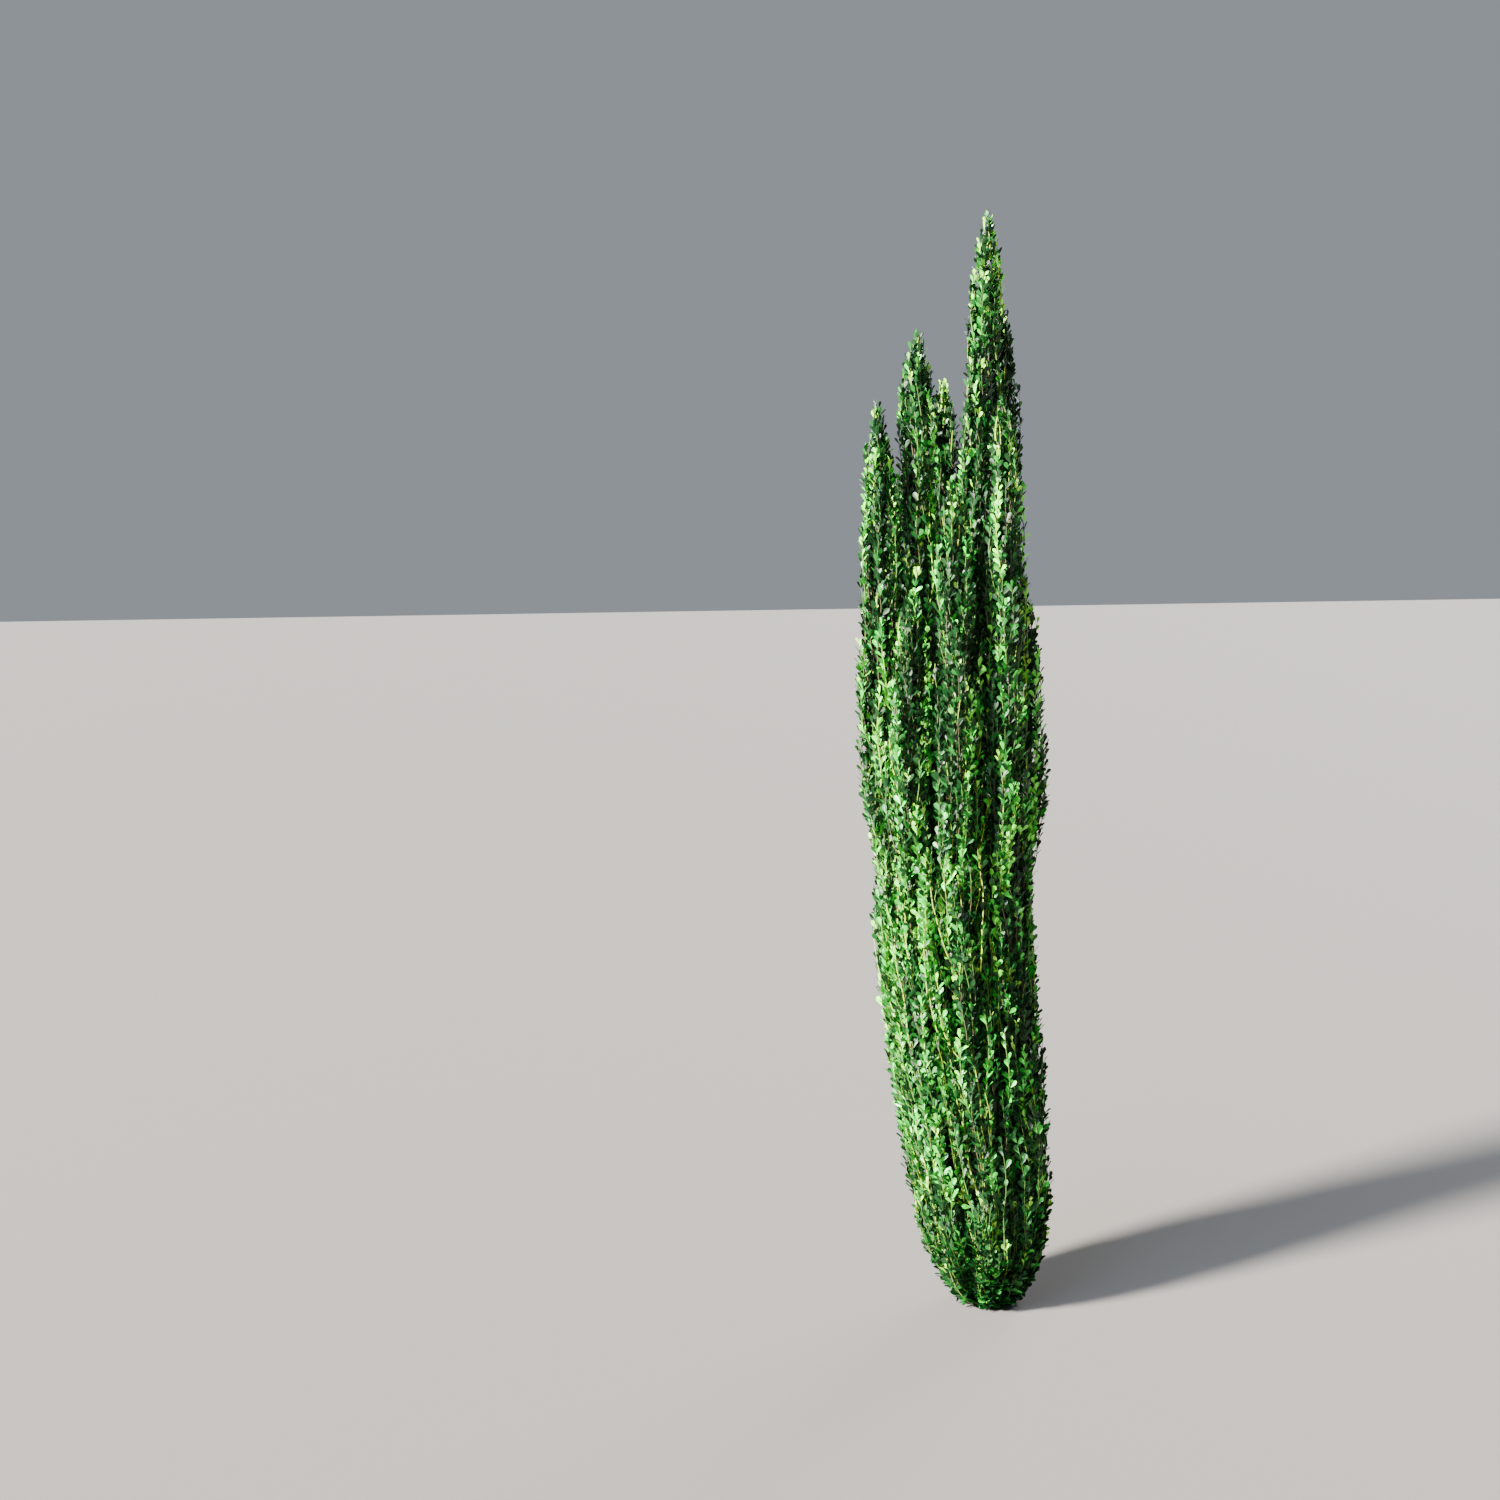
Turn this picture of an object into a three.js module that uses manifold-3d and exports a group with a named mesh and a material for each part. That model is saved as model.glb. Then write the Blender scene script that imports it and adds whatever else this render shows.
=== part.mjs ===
// A columnar holly: a narrow evergreen shrub of upright stems from one short trunk, each clothed in short
// steep twigs. Millimetres, +Z up. The origin is the centre of the flat cut under the trunk, at ground level,
// and the front is -Y. Leaves are drawn larger than life: each blade stands for a spray of them.
import * as THREE from "three";
import { mergeVertices } from "three/addons/utils/BufferGeometryUtils.js";
import Module from "manifold-3d";

const wasm = await Module();
wasm.setup();

// Driving dimensions of the whole shrub
const HEIGHT = 2400; // ground to the topmost leaf tip
const LEAN = -75; // how far the middle of the shrub drifts along X on its way up
const LEAN_HEIGHT = 1000; // height where that drift is complete
const GROUND_CLEARANCE = 3; // the lowest leaves hang this far above the ground
const GAP = 0.3; // between two solids that meet
const SPACING = 1.2; // between neighbouring masses of foliage
const SLACK = 13; // leaves stand at most this far outside the rim of their mass

// The trunk: a short stool hidden by the foliage, flared at the ground
const TRUNK_HEIGHT = 60;
const TRUNK_RADIUS = 27;
const TRUNK_SIDES = 14;
const TRUNK_RINGS = 5;
const RING_CROWDING = 1.4; // above 1 its rings stand closer together near the ground
const FLARE = 9; // extra radius at the ground
const FLARE_FADE = 13; // height over which the flare fades
const FLARE_LOBES = 7;
const LOBE_SHARE = 0.1; // how far the lobes stand out at the ground, as a share of the radius

// The boughs: one for each column, in a ring on top of the trunk round the leader's
const RING_RADIUS = 20.5;
const BOUGH_RADIUS = 5.2;
const BOUGH_TIP_RADIUS = 4;
const BOUGH_SIDES = 6;
const BOUGH_STEPS = 4;
const FORK_HEIGHT = 400; // where the lowest bough enters its foliage
const FORK_STEP = 14; // each next bough is this much taller
const SPREAD_HEIGHT = 1150; // height where the columns stand at their full distance apart
const SPREAD_BEND = 1.15; // above 1 the boughs stay bundled low down and part higher up

// The columns of foliage. x and y are where each stands at full height, measured from the middle of the
// shrub, tip is the height of its topmost leaf, and reach is the half width of its foliage.
const COLUMNS = [
  { name: "leader", x: 76, y: 22, tip: HEIGHT, reach: 48 },
  { name: "second", x: 50, y: -44, tip: 2135, reach: 48 },
  { name: "middle_left", x: -76, y: 12, tip: 2165, reach: 52 },
  { name: "right", x: 146, y: -14, tip: 1640, reach: 56 },
  { name: "front_right", x: 92, y: -112, tip: 2005, reach: 54 },
  { name: "front", x: -14, y: -138, tip: 1843, reach: 56 },
  { name: "front_left", x: -102, y: -108, tip: 1615, reach: 56 },
  { name: "left", x: -158, y: -8, tip: 2008, reach: 50 },
  { name: "back_left", x: -112, y: 100, tip: 1850, reach: 56 },
  { name: "back", x: -6, y: 138, tip: 2060, reach: 58 },
  { name: "back_right", x: 114, y: 92, tip: 2225, reach: 54 },
];
const SWELL_BEND = 0.8; // below 1 a column swells to its reach sooner than the boughs part
const TIP_TAPER = 150; // length over which a column narrows to its tip

// The foot masses: lower foliage on stems of its own from the side of the trunk, down to the ground
const FOOT_COUNT = 7;
const FOOT_START = 28; // height where their stems leave the trunk
const FOOT_TIP = 770; // height of the lowest of their tips
const FOOT_TIP_STEP = 24; // their tips differ by whole numbers of this
const FOOT_TIP_STRIDE = 3; // how many such steps from one foot mass to the next, round and round
const FOOT_TOP = FOOT_TIP + FOOT_TIP_STEP * (FOOT_COUNT - 1);
const FOOT_TAPER = 120;
const FOOT_PACKING = 0.86; // how much of its share of the ring each fills
const FOOT_STATIONS = [0.12, 0.3, 0.5, 0.75, 1]; // where their stems are laid out, as shares of their height
const GROUND_HALF_WIDTH = 40; // of the whole shrub
const FOOT_SWELL = 127; // how much wider the shrub grows
const FOOT_RISE = 130; // height over which it does
const BUNDLE_MARGIN = 6.5; // clear space round the bundle of boughs inside
const BUNDLE_GROWTH = 176; // how much wider that bundle is at SPREAD_HEIGHT

// Stems and cores
const STEM_RADIUS = 3.8;
const STEM_TIP_RADIUS = 1.6;
const STEM_SIDES = 5;
const STEM_STEPS = 7;
const STEM_RUN = 12; // a foot mass's stem runs this far straight out of the trunk
const STEM_CROWDING = 2; // above 1 the rings of such a stem stand closer together there
const CORE_SHARE = 0.58; // a core's half width as a share of its mass's own
const CORE_SIDES = 6;
const CORE_RING = 210; // height between a core's rings
const FEWEST_CORE_RINGS = 3;
const CORE_START = 20; // above the start of a column
const FOOT_CORE_START = 6;
const FOOT_CORE_CROWDING = 1.6; // above 1 the rings of a foot mass's core stand closer together low down
const CORE_BELOW_TIP = 130;
const CORE_END_RADIUS = 5;
const CORE_MARGIN = 2; // a core keeps this much further inside its space than leaves do

// Twigs
const TWIG_SPACING = 146;
const FIRST_TWIG = 30; // above the start of the mass
const LAST_TWIG = 180; // below its tip
const TWIG_RISE = 90;
const TWIG_RISE_SPREAD = 0.2; // twigs rise this much more or less, as a share
const TWIG_END = 105; // a twig ends at least this far below the mass's tip
const TWIG_OUT = 0.84; // where a twig ends, as a share of the way from the stem to the rim
const TWIG_RADIUS = 4;
const TWIG_TIP_RADIUS = 2.4;
const TWIG_SIDES = 3;
const TWIG_CLEARANCE = 4; // a twig grows where the rim stands this far out of the other masses
const TURNS_TRIED = 4; // a twig turns on by the golden angle until it finds such a place
const FEWEST_LEAVES = 2; // on a twig
const TWIG_LEAVES = [
  { share: 1, turn: 0.44, stand: 8 },
  { share: 0.94, turn: -0.44, stand: 8 },
  { share: 0.84, turn: 1, stand: 5 },
  { share: 0.78, turn: -1, stand: 5 },
]; // where each leaf leaves its twig, how far round the mass its tip is, and how far past the rim

// Leaves
const LEAF_LENGTH = 150;
const LEAF_SIZES = [1, 0.8, 0.6]; // tried in turn until a leaf has room
const LEAF_VARIATION = 0.15; // each is up to this much smaller, as a share
const LEAF_TUCK = 30; // how much less a leaf stands past the rim, for each whole size that it is smaller
const LEAF_WIDTH_SHARE = 0.29;
const LEAF_WIDEST = 0.58; // from its root, as a share of its length
const LEAF_THICKNESS_SHARE = 0.03;
const LEAF_FOLD_SHARE = 0.03; // how far the margins stand above the midrib
const LEAF_ROOT_SUNK = 2; // the root lies this far behind the middle of its twig
const TOP_LEAF_WIDTH_SHARE = 0.2;
const HEAD_LEAVES = 6; // round the head of a stem, under its top leaf
const HEAD_LEAF_SPACING = 22;
const HEAD_LEAF_STAND = 6;
const LOW_LEAVES = 9; // round the foot of each foot mass
const LOW_LEAF_FAN = 1; // radians to either side
const LOW_LEAF_TIPS = [48, 14, 105]; // heights of their tips, in turn
const LOW_LEAF_ROOTS = [0.03, 0.01, 0.045]; // where they leave the stem
const LOW_LEAF_STAND = 9;
const LOW_LEAF_WIDTH_SHARE = 0.6;

const UP = new THREE.Vector3(0, 0, 1);
const RIGHT = new THREE.Vector3(1, 0, 0);
const GOLDEN_ANGLE = Math.PI * (3 - Math.sqrt(5));
const FIRST_FOOT_SEED = 100;
const HAIR = 0.01; // keeps a point that lies on the edge of a space just inside it

const BARK = { color: 0x7a6a58, roughness: 0.85, metalness: 0 };
const LEAF = { color: 0x3f7a3a, roughness: 0.4, metalness: 0 };

const { clamp, lerp, smoothstep } = THREE.MathUtils;

// Numbers from 0 to 1 that look random and are the same on every run, by repeated multiplication modulo a
// prime
function seeded(seed) {
  let state = seed * 7919 + 17;
  return () => {
    state = (state * 16807) % 2147483647;
    return state / 2147483647;
  };
}

const outwardAt = (turn) => new THREE.Vector3(Math.cos(turn), Math.sin(turn), 0);

// Outline of the shrub: where its middle stands at a height, how far its boughs have parted, from 0 to 1, and
// the half widths of its trunk, of its bundle of boughs and of its foot
const middleAt = (z) => LEAN * smoothstep(z, 0, LEAN_HEIGHT);
const spreadAt = (z) => clamp((z - TRUNK_HEIGHT) / (SPREAD_HEIGHT - TRUNK_HEIGHT), 0, 1) ** SPREAD_BEND;
const trunkAt = (z) => TRUNK_RADIUS + FLARE * Math.exp(-z / FLARE_FADE);
const footAt = (z) => GROUND_HALF_WIDTH + FOOT_SWELL * (1 - Math.exp(-z / FOOT_RISE));

function bundleAt(z) {
  const boughs = RING_RADIUS + BUNDLE_MARGIN + BUNDLE_GROWTH * spreadAt(z);
  return z > TRUNK_HEIGHT ? boughs : Math.max(boughs, trunkAt(z) + SPACING);
}

// A column: the foliage that carries on from a bough's tip, upright once the boughs have parted. It keeps to
// its own side of a border between it and each other column, and to the bundle while the foot is round it.
class Column {
  constructor(place, index) {
    Object.assign(this, place);
    this.start = FORK_HEIGHT + FORK_STEP * index;
    this.seed = index + 1;
    this.base = new THREE.Vector2(0, 0);
    this.angle = -Math.PI / 2; // its top leaf faces the front
    this.coreStart = this.start + CORE_START;
    this.coreCrowding = 1;
  }

  stemAt(z) {
    const spread = spreadAt(z);
    const x = middleAt(z) + lerp(this.base.x, this.x, spread);
    return new THREE.Vector3(x, lerp(this.base.y, this.y, spread), z);
  }

  reachAt(z) {
    const narrowing = 1 - Math.exp(-Math.max(this.tip - z, 0) / TIP_TAPER);
    return this.reach * spreadAt(z) ** SWELL_BEND * narrowing;
  }

  toRim(z, turn) {
    return outwardAt(turn).multiplyScalar(this.reachAt(z));
  }

  // The power of a point to this column's round section, which is equal on both sides of a border
  powerOf(point) {
    const stem = this.stemAt(point.z);
    return Math.hypot(point.x - stem.x, point.y - stem.y) ** 2 - this.reachAt(point.z) ** 2;
  }

  isOnOwnSide(point, other) {
    const apart = this.stemAt(point.z).distanceTo(other.stemAt(point.z));
    return point.z > other.tip || other.powerOf(point) - this.powerOf(point) > 2 * apart * SPACING;
  }

  holds(point) {
    if (point.z > this.tip) return false;
    const fromMiddle = Math.hypot(point.x - middleAt(point.z), point.y);
    if (point.z < FOOT_TOP && fromMiddle > bundleAt(point.z) - SPACING) return false;
    if (point.distanceTo(this.stemAt(point.z)) > this.reachAt(point.z) + SLACK) return false;
    return columns.every((other) => other === this || this.isOnOwnSide(point, other));
  }

  stemLine() {
    return new RisingLine(this, this.start + GAP, this.tip - LEAF_LENGTH);
  }

  // Its rings are level, so that the stem meets the top of its bough face to face
  stem(line) {
    return limb(line, STEM_RADIUS, STEM_TIP_RADIUS, STEM_SIDES, STEM_STEPS);
  }
}

// A foot mass: an upright wedge of the ring between the bundle of boughs and the outline of the shrub
class FootMass {
  constructor(index) {
    this.name = `foot_${index + 1}`;
    this.angle = -Math.PI / 2 + (2 * Math.PI * index) / FOOT_COUNT;
    this.start = FOOT_START;
    this.tip = FOOT_TIP + FOOT_TIP_STEP * ((FOOT_TIP_STRIDE * index) % FOOT_COUNT);
    this.seed = FIRST_FOOT_SEED + index;
    this.coreStart = this.start + FOOT_CORE_START;
    this.coreCrowding = FOOT_CORE_CROWDING;
    this.isFoot = true;
  }

  // A point over this mass's own line from the middle of the shrub
  alongOwnLine(radius, z) {
    return outwardAt(this.angle).multiplyScalar(radius).setZ(z);
  }

  stemAt(z) {
    const stem = this.alongOwnLine((bundleAt(z) + footAt(z)) / 2, z);
    return stem.setX(stem.x + middleAt(z));
  }

  // An oval, longer along the outline of the shrub
  toRim(z, turn) {
    const narrowing = 1 - Math.exp(-Math.max(this.tip - z, 0) / FOOT_TAPER);
    const deep = (footAt(z) - bundleAt(z)) / 2;
    const wide = ((footAt(z) + bundleAt(z)) / 2) * Math.sin(Math.PI / FOOT_COUNT) * FOOT_PACKING;
    const around = turn - this.angle;
    return new THREE.Vector3(deep * Math.cos(around), wide * Math.sin(around), 0)
      .applyAxisAngle(UP, this.angle)
      .multiplyScalar(narrowing);
  }

  holds(point) {
    if (point.z < GROUND_CLEARANCE || point.z > this.tip) return false;
    const fromMiddle = new THREE.Vector3(point.x - middleAt(point.z), point.y, 0);
    const turned = fromMiddle.angleTo(outwardAt(this.angle));
    if (turned > Math.PI / FOOT_COUNT) return false;
    const radius = fromMiddle.length();
    const toBorder = radius * Math.sin(Math.PI / FOOT_COUNT - turned);
    return toBorder > SPACING && radius > bundleAt(point.z) + SPACING && radius < footAt(point.z) + SLACK;
  }

  // Straight out of the trunk's flat side, then up
  stemLine() {
    const out = trunkAt(this.start - STEM_RADIUS) * Math.cos(Math.PI / TRUNK_SIDES) + 2 * GAP;
    const run = [out, out + STEM_RUN].map((radius) => this.alongOwnLine(radius, this.start));
    const heights = FOOT_STATIONS.map((share) => lerp(this.start, this.tip - LEAF_LENGTH, share));
    return new THREE.CatmullRomCurve3([...run, ...heights.map((z) => this.stemAt(z))]);
  }

  stem(line) {
    const side = outwardAt(this.angle + Math.PI / 2);
    return limb(line, STEM_RADIUS, STEM_TIP_RADIUS, STEM_SIDES, STEM_STEPS, side, STEM_CROWDING);
  }
}

// The line of a mass's stem from one height to another
class RisingLine extends THREE.Curve {
  constructor(mass, from, to) {
    super();
    this.mass = mass;
    this.from = from;
    this.to = to;
  }

  getPoint(share, target = new THREE.Vector3()) {
    return target.copy(this.mass.stemAt(lerp(this.from, this.to, share)));
  }
}

// The leader's bough stands in the middle of the trunk, and the others in a ring, in their columns' order
function standInRing(ring) {
  ring.sort((a, b) => Math.atan2(a.y, a.x) - Math.atan2(b.y, b.x));
  const first = Math.atan2(ring[0].y, ring[0].x);
  ring.forEach((column, k) => {
    const turn = first + (2 * Math.PI * k) / ring.length;
    column.base.set(RING_RADIUS * Math.cos(turn), RING_RADIUS * Math.sin(turn));
  });
}

// Whether a point lies within some other mass, where a twig would be shaded out
function isShaded(mass, point) {
  return masses.some((other) => {
    if (other === mass || point.z > other.tip || point.z < other.start) return false;
    const fromStem = point.clone().sub(other.stemAt(point.z));
    const turn = Math.atan2(fromStem.y, fromStem.x);
    return fromStem.length() < other.toRim(point.z, turn).length();
  });
}

// A closed mesh as a solid that can be joined
function solidOf(geometry) {
  geometry.deleteAttribute("normal");
  geometry.deleteAttribute("uv");
  const merged = mergeVertices(geometry);
  const vertProperties = merged.getAttribute("position").array;
  const triVerts = new Uint32Array(merged.index.array);
  return new wasm.Manifold(new wasm.Mesh({ numProp: 3, vertProperties, triVerts }));
}

function geometryOf(solid) {
  const mesh = solid.getMesh();
  const geometry = new THREE.BufferGeometry();
  geometry.setAttribute("position", new THREE.BufferAttribute(mesh.vertProperties, mesh.numProp));
  geometry.setIndex(new THREE.BufferAttribute(mesh.triVerts, 1));
  geometry.computeVertexNormals();
  return geometry;
}

// Solids joined into one body: loose scraps are dropped, and sealed hollows are filled
function join(solids) {
  const whole = solids.reduce((joined, solid) => joined.add(solid));
  return whole.decompose().sort((a, b) => b.volume() - a.volume())[0];
}

const crosses = (solid, others) => others.some((other) => !solid.intersect(other).isEmpty());

// A tapering limb along a line. Its rings are level, or where it is given the direction of its side, they are
// square to the line.
function limb(line, startRadius, endRadius, sides, steps, side = null, crowding = 1) {
  const geometry = new THREE.CylinderGeometry(1, 1, 1, sides, steps);
  const position = geometry.getAttribute("position");
  for (let i = 0; i < position.count; i++) {
    const share = (position.getY(i) + 0.5) ** crowding;
    const radius = lerp(startRadius, endRadius, share);
    const across = side ?? RIGHT;
    const deep = new THREE.Vector3().crossVectors(across, side ? line.getTangentAt(share) : UP).normalize();
    const point = line
      .getPointAt(share)
      .addScaledVector(across, position.getX(i) * radius)
      .addScaledVector(deep, position.getZ(i) * radius);
    position.setXYZ(i, point.x, point.y, point.z);
  }
  return geometry;
}

// The trunk: turned on its axis, with a flare that swells into lobes at the flat cut. A flat side of it faces
// each foot mass.
function trunk() {
  const profile = [new THREE.Vector2(0, 0)];
  for (let ring = 0; ring <= TRUNK_RINGS; ring++) {
    const z = TRUNK_HEIGHT * (ring / TRUNK_RINGS) ** RING_CROWDING;
    profile.push(new THREE.Vector2(trunkAt(z), z));
  }
  profile.push(new THREE.Vector2(0, TRUNK_HEIGHT));
  const geometry = new THREE.LatheGeometry(profile, TRUNK_SIDES).rotateX(Math.PI / 2);
  const position = geometry.getAttribute("position");
  for (let i = 0; i < position.count; i++) {
    const wave = Math.cos(FLARE_LOBES * Math.atan2(position.getY(i), position.getX(i)));
    const lobe = 1 + LOBE_SHARE * wave * Math.exp(-position.getZ(i) / FLARE_FADE);
    position.setXYZ(i, position.getX(i) * lobe, position.getY(i) * lobe, position.getZ(i));
  }
  return geometry.rotateZ(Math.PI / TRUNK_SIDES);
}

function bough(column) {
  const line = new RisingLine(column, TRUNK_HEIGHT + GAP, column.start);
  return limb(line, BOUGH_RADIUS, BOUGH_TIP_RADIUS, BOUGH_SIDES, BOUGH_STEPS);
}

// The dense inside of a mass: a cylinder along its stem, drawn in where the mass's own space is narrower
function core(mass) {
  const end = mass.tip - CORE_BELOW_TIP;
  const rings = Math.max(FEWEST_CORE_RINGS, Math.round((end - mass.coreStart) / CORE_RING));
  const geometry = new THREE.CylinderGeometry(1, 1, 1, CORE_SIDES, rings);
  const position = geometry.getAttribute("position");
  for (let i = 0; i < position.count; i++) {
    const share = position.getY(i) + 0.5;
    const z = lerp(mass.coreStart, end, share ** mass.coreCrowding);
    const point = mass.stemAt(z);
    const isCapCentre = position.getX(i) === 0 && position.getZ(i) === 0;
    if (!isCapCentre) {
      const rim = mass.toRim(z, Math.atan2(position.getX(i), position.getZ(i)));
      const isPointed = share === 1 || (share === 0 && !mass.isFoot);
      const wanted = isPointed ? CORE_END_RADIUS : Math.max(CORE_SHARE * rim.length(), CORE_END_RADIUS);
      const out = rim.normalize();
      const hasRoom = (radius) => mass.holds(point.clone().addScaledVector(out, radius + CORE_MARGIN));
      let radius = 0;
      while (radius < wanted && hasRoom(radius)) radius += 1;
      point.addScaledVector(out, radius);
    }
    position.setXYZ(i, point.x, point.y, point.z);
  }
  return geometry;
}

// A leaf: a flattened octahedron, widest past its middle, with its margins folded up towards the stem
function leaf(root, along, outward, length, widthShare = LEAF_WIDTH_SHARE) {
  const across = new THREE.Vector3().crossVectors(along, outward.clone().sub(UP)).normalize();
  const face = new THREE.Vector3().crossVectors(along, across);
  const geometry = new THREE.OctahedronGeometry(1);
  const position = geometry.getAttribute("position");
  for (let i = 0; i < position.count; i++) {
    const end = Math.round(position.getX(i));
    const side = Math.round(position.getY(i));
    const forward = length * [0, LEAF_WIDEST, 1][end + 1] - LEAF_ROOT_SUNK;
    const fold = Math.abs(side) * LEAF_FOLD_SHARE;
    const point = root
      .clone()
      .addScaledVector(along, forward)
      .addScaledVector(across, (side * length * widthShare) / 2)
      .addScaledVector(face, length * (fold + (position.getZ(i) * LEAF_THICKNESS_SHARE) / 2));
    position.setXYZ(i, point.x, point.y, point.z);
  }
  return geometry;
}

// A point some way past the rim of a mass
function pastRim(mass, z, turn, stand) {
  return mass.stemAt(z).add(mass.toRim(z, turn)).addScaledVector(outwardAt(turn), stand);
}

// A leaf whose tip lies at a given point
function leafTo(tip, root, outward, widthShare) {
  const toTip = tip.clone().sub(root);
  return leaf(root, toTip.clone().normalize(), outward, toTip.length() + LEAF_ROOT_SUNK, widthShare);
}

// A leaf that rises from its root to just past the rim of its mass. A size of 1 is a full one.
function risingLeaf(mass, root, turn, stand, size) {
  const length = LEAF_LENGTH * size;
  const z = Math.min(root.z + length, mass.tip - HAIR);
  const tip = pastRim(mass, z, turn, stand - LEAF_TUCK * (1 - size));
  return leaf(root, tip.sub(root).normalize(), outwardAt(turn), length);
}

function fits(mass, geometry) {
  const position = geometry.getAttribute("position");
  for (let i = 0; i < position.count; i++) {
    if (!mass.holds(new THREE.Vector3().fromBufferAttribute(position, i))) return false;
  }
  return true;
}

// A twig, out from the stem and steeply up, and its leaves, each made to a size that is chosen later. There
// is none where it would be shaded or leave its mass's space.
function growTwig(mass, z, turn, random) {
  const rise = TWIG_RISE * (1 + TWIG_RISE_SPREAD * (2 * random() - 1));
  const top = Math.min(z + rise, mass.tip - TWIG_END);
  if (isShaded(mass, pastRim(mass, top, turn, TWIG_CLEARANCE))) return null;
  const end = mass.stemAt(top).addScaledVector(mass.toRim(top, turn), TWIG_OUT);
  const line = new THREE.LineCurve3(mass.stemAt(z), end);
  const side = new THREE.Vector3().crossVectors(UP, line.getTangent(0)).normalize();
  const twig = limb(line, TWIG_RADIUS, TWIG_TIP_RADIUS, TWIG_SIDES, 1, side);
  if (!fits(mass, twig)) return null;
  const leaves = TWIG_LEAVES.map((place) => {
    const root = line.getPointAt(place.share);
    return (size) => risingLeaf(mass, root, turn + place.turn, place.stand, size);
  });
  return { twig, leaves };
}

// The leaves at the head of a stem: a slim one up to the tip of its mass, and a few round it below
function headLeaves(mass, line) {
  const tip = mass.stemAt(mass.tip - HAIR);
  const top = () => leafTo(tip, line.getPointAt(1), outwardAt(mass.angle), TOP_LEAF_WIDTH_SHARE);
  const others = Array.from({ length: HEAD_LEAVES }, (_, k) => {
    const root = line.getPointAt(1 - ((k + 1) * HEAD_LEAF_SPACING) / line.getLength());
    return (size) => risingLeaf(mass, root, k * GOLDEN_ANGLE, HEAD_LEAF_STAND, size);
  });
  return [top, ...others];
}

// The leaves round the bottom of a foot mass: out from its stem, level or down to the ground
function lowLeaves(mass, line) {
  return Array.from({ length: LOW_LEAVES }, (_, k) => () => {
    const turn = mass.angle + lerp(-LOW_LEAF_FAN, LOW_LEAF_FAN, k / (LOW_LEAVES - 1));
    const root = line.getPointAt(LOW_LEAF_ROOTS[k % LOW_LEAF_ROOTS.length]);
    const tip = pastRim(mass, LOW_LEAF_TIPS[k % LOW_LEAF_TIPS.length], turn, LOW_LEAF_STAND);
    return leafTo(tip, root, outwardAt(turn), LOW_LEAF_WIDTH_SHARE);
  });
}

// A mass of foliage: its core, its stem, and twigs round it from its foot to its tip. A leaf that lacks room
// is tried smaller, and is kept where it stays in the mass's space and clear of the leaves and twigs already
// there. A twig is kept where it bears enough of them.
function foliage(mass) {
  const random = seeded(mass.seed);
  const line = mass.stemLine();
  const stem = mass.stem(line);
  const twigs = [];
  const leaves = [];

  const roomForOne = (makeLeaf, near) => {
    for (const size of LEAF_SIZES) {
      const geometry = makeLeaf(size * (1 - LEAF_VARIATION * random()));
      if (!fits(mass, geometry)) continue;
      const solid = solidOf(geometry);
      if (!crosses(solid, near)) return solid;
    }
    return null;
  };
  const roomFor = (makers) => {
    const kept = [];
    makers.forEach((makeLeaf) => {
      const solid = roomForOne(makeLeaf, [...leaves, ...twigs, ...kept]);
      if (solid) kept.push(solid);
    });
    return kept;
  };

  leaves.push(...roomFor(headLeaves(mass, line)));
  if (mass.isFoot) leaves.push(...roomFor(lowLeaves(mass, line)));
  let turn = random() * 2 * Math.PI;
  for (let z = mass.start + FIRST_TWIG; z < mass.tip - LAST_TWIG; z += TWIG_SPACING) {
    let grown = null;
    for (let k = 0; k < TURNS_TRIED && !grown; k++) {
      turn += GOLDEN_ANGLE;
      grown = growTwig(mass, z, turn, random);
    }
    if (!grown) continue;
    const twig = solidOf(grown.twig);
    const borne = roomFor(grown.leaves);
    if (borne.length < FEWEST_LEAVES || crosses(twig, leaves)) continue;
    twigs.push(twig);
    leaves.push(...borne);
  }
  return join([solidOf(core(mass)), solidOf(stem), ...twigs, ...leaves]);
}

const columns = COLUMNS.map((place, index) => new Column(place, index));
const feet = Array.from({ length: FOOT_COUNT }, (_, index) => new FootMass(index));
const masses = [...columns, ...feet];
standInRing(columns.filter((column) => column.name !== "leader"));

const holly = new THREE.Group();

function addPiece(name, geometry, finish) {
  const mesh = new THREE.Mesh(geometry, new THREE.MeshStandardMaterial(finish));
  mesh.name = name;
  holly.add(mesh);
}

addPiece("trunk", trunk(), BARK);
columns.forEach((column) => addPiece(`bough_${column.name}`, bough(column), BARK));
masses.forEach((mass) => addPiece(`foliage_${mass.name}`, geometryOf(foliage(mass)), LEAF));

export default holly;
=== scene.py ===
import math

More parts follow.
